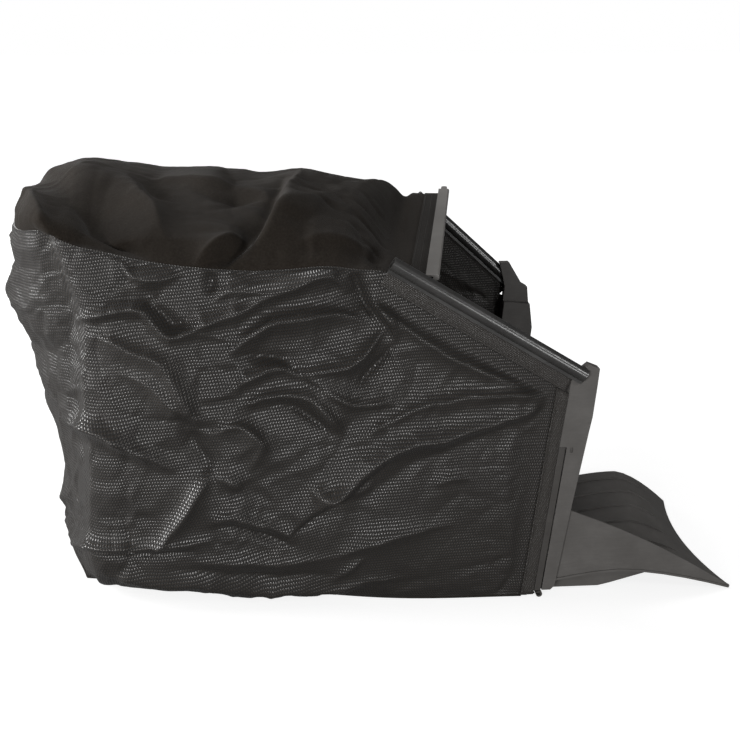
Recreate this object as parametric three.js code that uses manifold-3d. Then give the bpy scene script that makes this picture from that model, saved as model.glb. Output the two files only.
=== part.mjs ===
// Grass collection bag for a walk-behind lawn mower.
// Millimetres. +X points towards the mower, +Y from the near side to the far side, +Z up.
// Layout values are measured from the outer face of the near arm (Y 0) and from the ground (Z 0).
import * as THREE from 'three';
import { mergeVertices } from 'three/addons/utils/BufferGeometryUtils.js';
import Module from 'manifold-3d';

const wasm = await Module();
wasm.setup();

// Clearances
const GAP = 0.35; // between pieces that touch on the real bag
const SEAM_GAP = 0.5; // between a panel's edge and its binding

// Front moulding: two arms joined by a sill
const FRAME_WIDTH = 405; // over the outer faces of the arms
const ARM_DEPTH = 24; // along Y
const ARM_WALL = 3;
const ARM_FRONT_WALL = 4;
const ARM_FOOT_X = -9; // front edge of an arm at the ground
const ARM_LEAN = 0.155; // forward travel for each millimetre of height
const ARM_FOOT_WIDTH = 23;
const ARM_KNEE_WIDTH = 30;
const KNEE_HEIGHT = 209;
const KNEE_STEP = 3;
const CLIP_TOP = 182; // where the hem clip on an arm ends
const UPPER_ARM_LEAN = 0.08;
const TAB_HEIGHT = 273; // front corner of the tab at an arm's top
const TAB_LENGTH = 12;
const TAB_RISE = 5;
const TAB_DEPTH = 13; // along Y, where the arm is thinned beside its rail
const TAB_NECK = 26; // how far below its corner the thinning starts
const FAR_ARM_SPREAD = 13; // how far the far arm bows forward at its knee
const FAR_GUSSET_RISE = 30; // ear above the far arm's tab
const SILL_DEPTH = 20; // along X
const SILL_HEIGHT = 11;
const SLOT_WIDTH = 3;
const SLOT_HEIGHT = 6;
const SLOT_Z = 176;

// Hem clips on the arms and under the sill
const CLIP_WIDTH = 7.6;
const CLIP_THICKNESS = 4.6;
const CLIP_PROUD = 1;
const CLIP_GROOVE = 1.4;
const SILL_CLIP_DIAMETER = 7.4;
const SILL_CLIP_BORE = 3.4;
const SILL_CLIP_MOUTH = 2.4;

// Rails: round channels that snap over a rod of the mower's frame, with two jaws for the hem
const RAIL_DIAMETER = 12.6;
const RAIL_BORE = 8.8;
const RAIL_JAW_LENGTH = 5.2;
const RAIL_JAW_WIDTH = 6.8;
const RAIL_SLOT = 3.4;
const RAIL_FACETS = 26; // round a rail's section
const NEAR_RAIL_LENGTH = 245;
const NEAR_RAIL_SLOPE = 31.2; // degrees above level, rising to the rear
const NEAR_RAIL_TIP_DROP = 5; // rail axis below the tab's front corner
const FAR_RAIL_LENGTH = 185;
const FAR_RAIL_SLOPE = 42.5;
const FAR_RAIL_TIP_RISE = 4;
const RAIL_TIP_SETBACK = 18; // rail axis end behind the tab's front corner

// Strip across the top panel's front hem
const STRIP_WIDTH = 14.5;
const STRIP_THICKNESS = 6;
const STRIP_SLOT = 2.4;
const STRIP_SLOT_DEPTH = 8;
const STRIP_TONGUE = 15;
const STRIP_TONGUE_WIDTH = 8;
const STRIP_NEAR = [-152, 17, 374];
const STRIP_FAR = [-87, 404, 407];

// Scoop that reaches into the mower's grass chute
const SCOOP_WIDTH = 248;
const SCOOP_REACH = 202; // front corners ahead of the near arm's datum
const SCOOP_HOLLOW = 16; // depth of the front edge's curve
const SCOOP_WALL = 3;
const SCOOP_WALL_HEIGHT = 112;
const SCOOP_SILL_Z = 20; // floor height at the sill
const HUMP_NEAR_X = 73;
const HUMP_FAR_X = 130;
const HUMP_NEAR_Z = 30;
const HUMP_FAR_Z = 49;
const RIB_COUNT = 6;
const RIB_PITCH = 40;
const RIB_FIRST_INSET = 25; // first rib from the far edge
const RIB_WIDTH = 3.4;
const RIB_HEIGHT = 2.4;
const KEEL_INSET = 12;
const KEEL_FOOT = 3;
const SCOOP_LIP = 1.6;

// Cloth
const CLOTH = 2; // thickness of every panel
const TAPE = 1; // thickness of a hem's tape, which lies over the panel's edge
const BINDING = 3.2; // diameter of a bound seam
const HEM_WIDTH = 15;
const HEM_TUCK = 4; // how far the mesh stops short of a band's outer edge
const RAIL_HEM_TUCK = 5;
const RAIL_HEM_START = 8;
const RAIL_HEM_WIDTH = 16;
const TOP_HEM_WIDTH = 18;
const TOP_HEM_TUCK = 5;
const BOTTOM_HEM_WIDTH = 18;

// Outline of the standing bag: rear corners and the seams between them
const REAR_NEAR_TOP = [-553, 25, 428];
const REAR_FAR_TOP = [-572, 382, 440];
const REAR_NEAR_FOOT = [-550, 86];
const REAR_FAR_FOOT = [-556, 330];
const REAR_SWELL_TOP = 44; // how far the back bulges behind its corners
const REAR_SWELL_FOOT = 32;
const REAR_BELLY = 46; // further bulge below the top
const CREASE_TUCK = 22; // how far the rear corners draw in below the top seam
const SIDE_SWELL = 7;
const TOP_CROWN = 47;
const ROLL_LENGTH = 0.25; // share of the top panel's length that turns down at the back
const ROLL_OVERHANG = 8; // how far the roll stands behind the rear seam

// Materials
const plastic = (name, color, roughness) => ({ name, color, roughness, metalness: 0 });
const MOULDED = plastic('moulded_plastic', 0x55524f, 0.5);
const RAIL_PLASTIC = plastic('rail_plastic', 0x565452, 0.32);
const MESH_CLOTH = plastic('mesh_cloth', 0x2b2926, 0.6);
const WOVEN_CLOTH = plastic('woven_cloth', 0x2a2825, 0.9);
const BINDING_TAPE = plastic('binding_tape', 0x22201e, 0.85);

// Solid helpers
function toSolid(geometry) {
  const bare = geometry.clone();
  bare.deleteAttribute('normal');
  bare.deleteAttribute('uv');
  const merged = mergeVertices(bare, 1e-4);
  const vertProperties = new Float32Array(merged.attributes.position.array);
  const triVerts = new Uint32Array(merged.index.array);
  return new wasm.Manifold(new wasm.Mesh({ numProp: 3, vertProperties, triVerts }));
}

function toGeometry(solid) {
  const mesh = solid.getMesh();
  const geometry = new THREE.BufferGeometry();
  geometry.setAttribute('position', new THREE.BufferAttribute(new Float32Array(mesh.vertProperties), 3));
  geometry.setIndex(new THREE.BufferAttribute(new Uint32Array(mesh.triVerts), 1));
  return geometry;
}

function join(parts) {
  return parts.reduce((whole, part) => whole.add(part));
}

function node(name, geometry, look) {
  const material = new THREE.MeshStandardMaterial({
    name: look.name,
    color: look.color,
    roughness: look.roughness,
    metalness: look.metalness,
  });
  const mesh = new THREE.Mesh(geometry, material);
  mesh.name = name;
  return mesh;
}

// A plate with its outline in X and Z, from y0 to y1
function plate(outline, y0, y1) {
  const shape = new THREE.Shape(outline.map(([x, z]) => new THREE.Vector2(x, z)));
  const geometry = new THREE.ExtrudeGeometry(shape, { depth: y1 - y0, bevelEnabled: false });
  geometry.rotateX(Math.PI / 2);
  geometry.translate(0, y1, 0);
  return geometry;
}

// A bar whose section is drawn in (across, up) and which runs along a straight line
function bar(section, start, end, upHint) {
  const along = new THREE.Vector3().subVectors(end, start);
  const length = along.length();
  along.normalize();
  const across = new THREE.Vector3().crossVectors(upHint, along).normalize();
  const up = new THREE.Vector3().crossVectors(along, across);
  const shape = new THREE.Shape(section.map(([a, b]) => new THREE.Vector2(a, b)));
  const geometry = new THREE.ExtrudeGeometry(shape, { depth: length, bevelEnabled: false });
  geometry.applyMatrix4(new THREE.Matrix4().makeBasis(across, up, along));
  geometry.translate(start.x, start.y, start.z);
  return geometry;
}

// A round rod or piping along a curve
function rod(curve, diameter, steps, sides) {
  const shape = new THREE.Shape();
  for (let k = 0; k < sides; k += 1) {
    const angle = (2 * Math.PI * k) / sides;
    const point = [Math.cos(angle) * diameter / 2, Math.sin(angle) * diameter / 2];
    if (k === 0) shape.moveTo(...point);
    else shape.lineTo(...point);
  }
  return new THREE.ExtrudeGeometry(shape, { steps, bevelEnabled: false, extrudePath: curve });
}

// A closed sheet: the outer skin is surface(u, v), and the inner skin lies one thickness behind it.
// The skin faces the side from which u runs right and v runs up.
function sheet(surface, columns, rows, thickness) {
  const points = [];
  const inner = [];
  const step = 1e-3;
  for (let i = 0; i <= columns; i += 1) {
    for (let j = 0; j <= rows; j += 1) {
      const u = i / columns;
      const v = j / rows;
      const point = surface(u, v);
      const du = surface(Math.min(u + step, 1), v).sub(surface(Math.max(u - step, 0), v));
      const dv = surface(u, Math.min(v + step, 1)).sub(surface(u, Math.max(v - step, 0)));
      const normal = du.cross(dv).normalize();
      points.push(point);
      inner.push(point.clone().addScaledVector(normal, -thickness));
    }
  }
  const count = points.length;
  const at = (i, j) => i * (rows + 1) + j;
  const faces = [];
  const quad = (a, b, c, d) => faces.push(a, b, c, a, c, d);
  for (let i = 0; i < columns; i += 1) {
    for (let j = 0; j < rows; j += 1) {
      quad(at(i, j), at(i + 1, j), at(i + 1, j + 1), at(i, j + 1));
      quad(count + at(i, j), count + at(i, j + 1), count + at(i + 1, j + 1), count + at(i + 1, j));
    }
  }
  const rim = (a, b) => quad(b, a, count + a, count + b);
  for (let i = 0; i < columns; i += 1) {
    rim(at(i, 0), at(i + 1, 0));
    rim(at(i + 1, rows), at(i, rows));
  }
  for (let j = 0; j < rows; j += 1) {
    rim(at(columns, j), at(columns, j + 1));
    rim(at(0, j + 1), at(0, j));
  }
  const geometry = new THREE.BufferGeometry();
  const flat = [...points, ...inner].flatMap((p) => [p.x, p.y, p.z]);
  geometry.setAttribute('position', new THREE.Float32BufferAttribute(flat, 3));
  geometry.setIndex(faces);
  return geometry;
}

// The same surface seen from its other side
function mirrored(surface) {
  return (u, v) => surface(1 - u, v);
}

const vec = (p) => new THREE.Vector3(...p);
const mix = (a, b, t) => a + (b - a) * t;
const smooth = (t) => {
  const s = THREE.MathUtils.clamp(t, 0, 1);
  return s * s * (3 - 2 * s);
};
const curveOf = (points) => new THREE.CatmullRomCurve3(points.map(vec), false, 'centripetal');

// A patch between four edge curves: bottom and top run with u, left and right run with v
function patch(bottom, top, left, right) {
  const corners = [left(0), right(0), left(1), right(1)];
  return (u, v) => {
    const point = new THREE.Vector3();
    point.addScaledVector(bottom(u), 1 - v).addScaledVector(top(u), v);
    point.addScaledVector(left(v), 1 - u).addScaledVector(right(v), u);
    point.addScaledVector(corners[0], -(1 - u) * (1 - v)).addScaledVector(corners[1], -u * (1 - v));
    point.addScaledVector(corners[2], -(1 - u) * v).addScaledVector(corners[3], -u * v);
    return point;
  };
}

// A surface whose edges are drawn in by a margin in millimetres
function trimmed(surface, width, height, margins) {
  const [left, right, bottom, top] = margins;
  return (u, v) => {
    const s = mix(left / width, 1 - right / width, u);
    const t = mix(bottom / height, 1 - top / height, v);
    return surface(s, t);
  };
}

// Folds: soft ridges and hollows, each a reach and a line of [u, v, height] on its panel
function foldHeight(folds, u, v, aspect) {
  let height = 0;
  for (const [reach, ...line] of folds) {
    let nearest = Infinity;
    let rise = 0;
    for (let k = 0; k + 1 < line.length; k += 1) {
      const du = (line[k + 1][0] - line[k][0]) * aspect;
      const dv = line[k + 1][1] - line[k][1];
      const travel = ((u - line[k][0]) * aspect * du + (v - line[k][1]) * dv) / (du * du + dv * dv);
      const along = THREE.MathUtils.clamp(travel, 0, 1);
      const acrossFold = (u - line[k][0]) * aspect - du * along;
      const away = Math.hypot(acrossFold, v - line[k][1] - dv * along) / reach;
      if (away < nearest) {
        nearest = away;
        rise = mix(line[k][2], line[k + 1][2], smooth(along));
      }
    }
    height += rise * Math.exp(-1.25 * (Math.sqrt(nearest * nearest + 0.1) - 0.316));
  }
  const edge = Math.min(u, 1 - u, v, 1 - v);
  return height * smooth(edge / FOLD_MARGIN);
}

// Arms
const armFront = (z) => ARM_FOOT_X + ARM_LEAN * z;
const armWidth = (z) => mix(ARM_FOOT_WIDTH, ARM_KNEE_WIDTH, z / KNEE_HEIGHT);
const armRear = (z) => armFront(z) - armWidth(z);
const kneeX = armFront(KNEE_HEIGHT);
const upperFront = (z) => kneeX + KNEE_STEP + UPPER_ARM_LEAN * (z - KNEE_HEIGHT);
const tabFrontX = upperFront(TAB_HEIGHT);
const footZ = SILL_CLIP_DIAMETER + GAP;
const clipLeft = (z) => armRear(z);
const clipRight = (z) => armRear(z) + CLIP_WIDTH;

// Rails, by their axis and the direction that climbs to the rear
function railLine(length, slope, tipX, tipZ, y) {
  const angle = THREE.MathUtils.degToRad(slope);
  const back = new THREE.Vector3(-Math.cos(angle), 0, Math.sin(angle));
  const up = new THREE.Vector3(Math.sin(angle), 0, Math.cos(angle));
  const tip = new THREE.Vector3(tipX, y, tipZ);
  const rear = tip.clone().addScaledVector(back, length);
  const at = (travel, rise) => tip.clone().addScaledVector(back, travel).addScaledVector(up, rise);
  return { length, back, up, tip, rear, at, y };
}
const railTipX = tabFrontX - RAIL_TIP_SETBACK;
const nearRail = railLine(
  NEAR_RAIL_LENGTH, NEAR_RAIL_SLOPE, railTipX, TAB_HEIGHT - NEAR_RAIL_TIP_DROP, 0,
);
const farRail = railLine(
  FAR_RAIL_LENGTH, FAR_RAIL_SLOPE, railTipX, TAB_HEIGHT + FAR_RAIL_TIP_RISE, FRAME_WIDTH,
);
const jawFoot = -(RAIL_DIAMETER / 2 + RAIL_JAW_LENGTH);

function railSection() {
  const outer = RAIL_DIAMETER / 2;
  const inner = RAIL_BORE / 2;
  const jaw = RAIL_JAW_WIDTH / 2;
  const slot = RAIL_SLOT / 2;
  const outerStart = Math.asin(jaw / outer);
  const innerStart = Math.asin(slot / inner);
  const steps = RAIL_FACETS;
  const section = [[-jaw, jawFoot]];
  for (let k = 0; k <= steps; k += 1) {
    const angle = -Math.PI / 2 - mix(outerStart, 2 * Math.PI - outerStart, k / steps);
    section.push([Math.cos(angle) * outer, Math.sin(angle) * outer]);
  }
  section.push([jaw, jawFoot], [slot, jawFoot]);
  for (let k = steps; k >= 0; k -= 1) {
    const angle = -Math.PI / 2 - mix(innerStart, 2 * Math.PI - innerStart, k / steps);
    section.push([Math.cos(angle) * inner, Math.sin(angle) * inner]);
  }
  section.push([-slot, jawFoot]);
  return section;
}

function rail(line) {
  return bar(railSection(), line.tip, line.rear, line.up);
}

// The room a rail's end takes out of an arm
function railSeat(line) {
  const half = RAIL_DIAMETER / 2 + GAP;
  const section = [[-half, jawFoot - GAP], [half, jawFoot - GAP], [half, half], [-half, half]];
  const start = line.tip.clone().addScaledVector(line.back, -GAP);
  const end = line.tip.clone().addScaledVector(line.back, ARM_KNEE_WIDTH * 2);
  return toSolid(bar(section, start, end, line.up));
}

function armOutline(bow, line, gussetRise) {
  const knee = bow;
  const mid = bow * 0.75;
  const hemTop = line.at(RAIL_HEM_START, jawFoot - GAP);
  const outline = [
    [armRear(footZ), footZ],
    [armFront(footZ) - 4, footZ],
    [armFront(footZ + 5), footZ + 5],
    [armFront(KNEE_HEIGHT * 0.55) + mid, KNEE_HEIGHT * 0.55],
    [kneeX + knee, KNEE_HEIGHT - 8],
    [upperFront(KNEE_HEIGHT) + knee * 0.9, KNEE_HEIGHT + 8],
    [upperFront(TAB_HEIGHT - 18) + knee * 0.25, TAB_HEIGHT - 18],
    [tabFrontX, TAB_HEIGHT],
  ];
  if (gussetRise > 0) {
    outline.push([tabFrontX - TAB_LENGTH * 0.7, TAB_HEIGHT + TAB_RISE]);
    outline.push([tabFrontX - TAB_LENGTH * 2.2, TAB_HEIGHT + TAB_RISE + gussetRise]);
    outline.push([tabFrontX - TAB_LENGTH * 3.3, TAB_HEIGHT + TAB_RISE + gussetRise]);
  } else {
    outline.push([tabFrontX - TAB_LENGTH, TAB_HEIGHT + TAB_RISE]);
  }
  outline.push([hemTop.x, hemTop.z], [armRear(CLIP_TOP), CLIP_TOP]);
  return outline;
}

// One arm: a hollow bar open to the rear, with a rebate for the hem clip on its outer face
function arm(outline, line, outerY, inward) {
  const span = (a, b) => [Math.min(outerY + inward * a, outerY + inward * b),
    Math.max(outerY + inward * a, outerY + inward * b)];
  let solid = toSolid(plate(outline, ...span(0, ARM_DEPTH)));
  const low = footZ + 8;
  const high = CLIP_TOP - 4;
  const pocket = [
    [armRear(low) - 5, low], [armFront(low) - ARM_FRONT_WALL, low],
    [armFront(high) - ARM_FRONT_WALL, high], [armRear(high) - 5, high],
  ];
  const rebateDepth = CLIP_THICKNESS - CLIP_PROUD + GAP;
  const inside = span(rebateDepth + ARM_WALL, ARM_DEPTH - ARM_WALL);
  solid = solid.subtract(toSolid(plate(pocket, ...inside)));
  const rebate = [
    [armRear(footZ) - 5, footZ - 5], [clipRight(footZ - 5) + CLIP_GROOVE, footZ - 5],
    [clipRight(CLIP_TOP) + CLIP_GROOVE, CLIP_TOP + GAP], [armRear(CLIP_TOP) - 5, CLIP_TOP + GAP],
  ];
  solid = solid.subtract(toSolid(plate(rebate, ...span(-5, rebateDepth))));
  const slotX = clipRight(SLOT_Z) + CLIP_GROOVE + SLOT_WIDTH * 1.6;
  const slot = [
    [slotX, SLOT_Z], [slotX + SLOT_WIDTH, SLOT_Z],
    [slotX + SLOT_WIDTH, SLOT_Z + SLOT_HEIGHT], [slotX, SLOT_Z + SLOT_HEIGHT],
  ];
  solid = solid.subtract(toSolid(plate(slot, ...span(-1, ARM_WALL * 0.6))));
  const thinning = [
    [kneeX - ARM_KNEE_WIDTH * 3, TAB_HEIGHT - TAB_NECK + 12],
    [kneeX + ARM_KNEE_WIDTH * 2, TAB_HEIGHT - TAB_NECK],
    [kneeX + ARM_KNEE_WIDTH * 2, TAB_HEIGHT * 2],
    [kneeX - ARM_KNEE_WIDTH * 3, TAB_HEIGHT * 2],
  ];
  solid = solid.subtract(toSolid(plate(thinning, ...span(TAB_DEPTH, ARM_DEPTH + 5))));
  return solid.subtract(railSeat(line));
}

const sillFront = armFront(footZ) - 4;
const sillRear = sillFront - SILL_DEPTH;
const sillTop = footZ + SILL_HEIGHT;

// The sill: an upturned channel between the arms
function sill() {
  const outline = [
    [sillRear, footZ], [sillFront, footZ], [sillFront, sillTop], [sillRear, sillTop],
  ];
  const hollow = [
    [sillRear + ARM_WALL, footZ - 5], [sillFront - ARM_WALL, footZ - 5],
    [sillFront - ARM_WALL, sillTop - ARM_WALL], [sillRear + ARM_WALL, sillTop - ARM_WALL],
  ];
  const overlap = 1;
  const whole = toSolid(plate(outline, ARM_DEPTH - overlap, FRAME_WIDTH - ARM_DEPTH + overlap));
  return whole.subtract(toSolid(plate(hollow, ARM_DEPTH, FRAME_WIDTH - ARM_DEPTH)));
}

function frontFrame() {
  const near = arm(armOutline(0, nearRail, 0), nearRail, 0, 1);
  const far = arm(armOutline(FAR_ARM_SPREAD, farRail, FAR_GUSSET_RISE), farRail, FRAME_WIDTH, -1);
  return toGeometry(join([near, far, sill()]));
}

// A flat strip that snaps into an arm's rebate over the hem
function armClip(outerY, inward) {
  const outline = [
    [clipLeft(footZ), footZ], [clipRight(footZ), footZ],
    [clipRight(CLIP_TOP), CLIP_TOP], [clipLeft(CLIP_TOP), CLIP_TOP],
  ];
  const a = outerY - inward * CLIP_PROUD;
  const b = a + inward * CLIP_THICKNESS;
  return plate(outline, Math.min(a, b), Math.max(a, b));
}

// A split round channel under the sill that grips the bottom hem
function sillClip() {
  const outer = SILL_CLIP_DIAMETER / 2;
  const inner = SILL_CLIP_BORE / 2;
  const mouthOuter = Math.asin(SILL_CLIP_MOUTH / 2 / outer);
  const mouthInner = Math.asin(Math.min(0.95, SILL_CLIP_MOUTH / 2 / inner));
  const steps = 12;
  const section = [];
  for (let k = 0; k <= steps; k += 1) {
    const angle = Math.PI - mix(mouthOuter, 2 * Math.PI - mouthOuter, k / steps);
    section.push([Math.cos(angle) * outer, Math.sin(angle) * outer]);
  }
  for (let k = steps; k >= 0; k -= 1) {
    const angle = Math.PI - mix(mouthInner, 2 * Math.PI - mouthInner, k / steps);
    section.push([Math.cos(angle) * inner, Math.sin(angle) * inner]);
  }
  const x = sillRear + outer + 3;
  const shape = section.map(([a, b]) => [x + a, outer + b]);
  return plate(shape, -2, FRAME_WIDTH + 2);
}

// Scoop: floor height, front edge and the tall near wall
const scoopNearY = 2 + SCOOP_LIP;
const scoopFarY = scoopNearY + SCOOP_WIDTH;
const scoopShare = (y) => (y - scoopNearY) / SCOOP_WIDTH;
const scoopRearX = sillFront + GAP;
function scoopFrontX(y) {
  const s = 2 * scoopShare(y) - 1;
  return SCOOP_REACH - SCOOP_HOLLOW * (1 - s * s);
}
function humpAt(y) {
  const share = Math.sin(THREE.MathUtils.clamp(scoopShare(y), 0, 1) * Math.PI / 2);
  return [mix(HUMP_NEAR_X, HUMP_FAR_X, share), mix(HUMP_NEAR_Z, HUMP_FAR_Z, share)];
}
function scoopFloorZ(x, y) {
  const [humpX, humpZ] = humpAt(y);
  const front = scoopFrontX(y);
  if (x < humpX) {
    const climb = (x - scoopRearX) / (humpX - scoopRearX);
    return mix(SCOOP_SILL_Z, humpZ, Math.sin(climb * Math.PI / 2));
  }
  const t = (x - humpX) / (front - humpX);
  return mix(humpZ, SCOOP_WALL, t ** 1.5);
}

function scoopFloor() {
  const surface = (u, v) => {
    const y = mix(scoopNearY, scoopFarY, v);
    const x = mix(scoopRearX, scoopFrontX(y), u);
    return new THREE.Vector3(x, y, scoopFloorZ(x, y));
  };
  return toSolid(sheet(surface, 18, 12, SCOOP_WALL));
}

function scoopRib(index) {
  const y = scoopFarY - RIB_FIRST_INSET - RIB_PITCH * index;
  const start = mix(scoopRearX, scoopFrontX(y), 0.12);
  const end = mix(scoopRearX, scoopFrontX(y), 0.86);
  const surface = (u, v) => {
    const x = mix(start, end, u);
    const ease = Math.min(1, Math.sin(Math.PI * u) * 3);
    const side = mix(y - RIB_WIDTH / 2, y + RIB_WIDTH / 2, v);
    return new THREE.Vector3(x, side, scoopFloorZ(x, y) + RIB_HEIGHT * ease);
  };
  return toSolid(sheet(surface, 14, 1, RIB_HEIGHT + SCOOP_WALL / 2));
}

function scoopWallOutline() {
  const reach = scoopFrontX(scoopNearY);
  const top = [];
  const steps = 8;
  for (let k = 0; k <= steps; k += 1) {
    const t = k / steps;
    const z = mix(SCOOP_WALL_HEIGHT, SCOOP_WALL, t) + 8 * Math.sin(Math.PI * t);
    top.push([mix(scoopRearX, reach, t), z]);
  }
  const bottom = [];
  for (let k = steps; k >= 0; k -= 1) {
    const x = mix(scoopRearX, reach - 2, k / steps);
    bottom.push([x, Math.max(0.4, scoopFloorZ(x, scoopNearY) - SCOOP_WALL)]);
  }
  return { top, bottom };
}

function scoop() {
  const { top, bottom } = scoopWallOutline();
  const wall = toSolid(plate([...top, ...bottom], scoopNearY, scoopNearY + SCOOP_WALL));
  const raised = bottom.map(([x, z]) => [x, z + SCOOP_LIP * 1.6]).reverse();
  const lip = toSolid(plate([...raised, ...bottom], scoopNearY - SCOOP_LIP, scoopNearY + 1));
  const keelEnd = mix(scoopRearX, scoopFrontX(scoopNearY), 0.62);
  const keelY = scoopNearY + KEEL_INSET;
  const keelTop = (x) => [x, scoopFloorZ(x, keelY) - SCOOP_WALL / 2];
  const keelOutline = [
    [scoopRearX, KEEL_FOOT], [mix(scoopRearX, keelEnd, 0.45), KEEL_FOOT],
    [mix(scoopRearX, keelEnd, 0.55), KEEL_FOOT + 3],
    [keelEnd, scoopFloorZ(keelEnd, keelY) - SCOOP_WALL],
    keelTop(keelEnd), keelTop(mix(scoopRearX, keelEnd, 0.5)), keelTop(scoopRearX),
  ];
  const keel = toSolid(plate(keelOutline, keelY, keelY + SCOOP_WALL));
  const rearFlange = toSolid(plate([
    [scoopRearX, footZ], [scoopRearX + SCOOP_WALL, footZ],
    [scoopRearX + SCOOP_WALL, SCOOP_SILL_Z - 1], [scoopRearX, SCOOP_SILL_Z - 1],
  ], ARM_DEPTH + 4, scoopFarY));
  const ribs = Array.from({ length: RIB_COUNT }, (_, index) => scoopRib(index));
  const clearOfArm = toSolid(plate([
    [armRear(0) - 20, -1], [armFront(0) + GAP, -1],
    [armFront(KNEE_HEIGHT) + GAP, KNEE_HEIGHT], [armRear(0) - 20, KNEE_HEIGHT],
  ], -5, ARM_DEPTH + GAP));
  return toGeometry(join([scoopFloor(), wall, lip, keel, rearFlange, ...ribs]).subtract(clearOfArm));
}

// Seam lines of the standing bag
const railRearFoot = (line) => line.at(line.length, jawFoot - GAP);
const nearRailRear = railRearFoot(nearRail);
const farRailRear = railRearFoot(farRail);
function seamTowards(corner, end, sag, steps, outward) {
  const points = [];
  for (let k = 0; k <= steps; k += 1) {
    const t = k / steps;
    const z = mix(corner[2], end.z, t) - sag * Math.sin(Math.PI * t);
    points.push([mix(corner[0], end.x, t), mix(corner[1], end.y, outward(t)), z]);
  }
  return curveOf(points);
}
const nearSeam = seamTowards(REAR_NEAR_TOP, nearRailRear, 16, 8, (t) => 1 - (1 - t) ** 4);
const farSeam = seamTowards(REAR_FAR_TOP, farRailRear, -10, 4, (t) => smooth(t) ** 0.7);
const rearSwellMid = Math.min(REAR_NEAR_TOP[0], REAR_FAR_TOP[0]) - REAR_SWELL_TOP;
const acrossTop = (share) => mix(REAR_NEAR_TOP[1], REAR_FAR_TOP[1], share);
const rearSeam = curveOf([
  REAR_NEAR_TOP,
  [mix(REAR_NEAR_TOP[0], rearSwellMid, 0.72), acrossTop(0.22), REAR_NEAR_TOP[2] - 12],
  [rearSwellMid, acrossTop(0.5), REAR_NEAR_TOP[2] - 8],
  [mix(REAR_FAR_TOP[0], rearSwellMid, 0.72), acrossTop(0.8), REAR_FAR_TOP[2] - 6],
  REAR_FAR_TOP,
]);
function rearCrease(top, foot) {
  const across = (t) => mix(foot[1], top[1], t ** 0.5);
  const at = (t, tuck) => [mix(foot[0], top[0], t) + tuck, across(t), mix(BINDING / 2, top[2], t)];
  return curveOf([at(0, 0), at(0.25, 2), at(0.5, CREASE_TUCK * 0.6), at(0.78, CREASE_TUCK), top]);
}
const nearCrease = rearCrease(REAR_NEAR_TOP, REAR_NEAR_FOOT);
const farCrease = rearCrease(REAR_FAR_TOP, REAR_FAR_FOOT);
const frontFootX = clipLeft(footZ) - GAP - HEM_WIDTH / 2;
function footSeam(foot, y, turn) {
  const z = BINDING / 2;
  return curveOf([
    [foot[0], foot[1], z],
    [mix(foot[0], frontFootX, 0.35), mix(foot[1], y + turn * 14, 0.5), z],
    [mix(foot[0], frontFootX, 0.7), y + turn * 8, z],
    [frontFootX, y + turn * 1, z],
  ]);
}
const nearFoot = footSeam(REAR_NEAR_FOOT, 0, 1);
const farFoot = footSeam(REAR_FAR_FOOT, FRAME_WIDTH, -1);
const rearFootMid = [0, 1].map((k) => mix(REAR_NEAR_FOOT[k], REAR_FAR_FOOT[k], 0.5));
const rearFoot = curveOf([
  [REAR_NEAR_FOOT[0], REAR_NEAR_FOOT[1], BINDING / 2],
  [rearFootMid[0] - REAR_SWELL_FOOT, rearFootMid[1], BINDING / 2],
  [REAR_FAR_FOOT[0], REAR_FAR_FOOT[1], BINDING / 2],
]);

// The edge that the arm holds: up beside the clip, then on to the rail
function hemFront(line) {
  const top = line.at(RAIL_HEM_START, jawFoot - GAP);
  return (z) => {
    if (z <= CLIP_TOP) return clipLeft(z) - GAP;
    return mix(clipLeft(CLIP_TOP), top.x, (z - CLIP_TOP) / (top.z - CLIP_TOP)) - GAP;
  };
}

// Where the band beside the arm meets the band below the rail, measured along the band's inner edge
function hemCorner(line, inset, drop) {
  const front = hemFront(line);
  let low = CLIP_TOP;
  let high = TAB_HEIGHT + TAB_RISE;
  for (let k = 0; k < 40; k += 1) {
    const z = (low + high) / 2;
    const x = front(z) - inset;
    const travel = (x - line.tip.x) * line.back.x + (z - line.tip.z) * line.back.z;
    const rise = (x - line.tip.x) * line.up.x + (z - line.tip.z) * line.up.z;
    if (travel > -line.length && rise < jawFoot - drop) low = z;
    else high = z;
  }
  return low;
}

function frontEdge(line, y, inset, drop, footGap) {
  const front = hemFront(line);
  const top = hemCorner(line, inset, drop);
  return (v) => {
    const z = mix(footGap, top, v);
    return new THREE.Vector3(front(z) - inset, y, z);
  };
}

// Top edge of a side's mesh: along the seam, then behind the rail's hem
function sideTop(seam, line, y, split) {
  const front = frontEdge(line, y, HEM_TUCK, RAIL_HEM_TUCK, 0)(1);
  const rear = seam.getPoint(1);
  return (u) => {
    if (u < split) return seam.getPoint(u / split);
    const t = (u - split) / (1 - split);
    return new THREE.Vector3(mix(rear.x, front.x, t), y, mix(rear.z, front.z, t));
  };
}

// How a side turns under towards its bottom seam
const turnUnder = (v, share) => {
  const t = Math.max(0, 1 - v / share);
  return 1 - Math.sqrt(Math.max(0, 1 - t * t));
};

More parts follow.
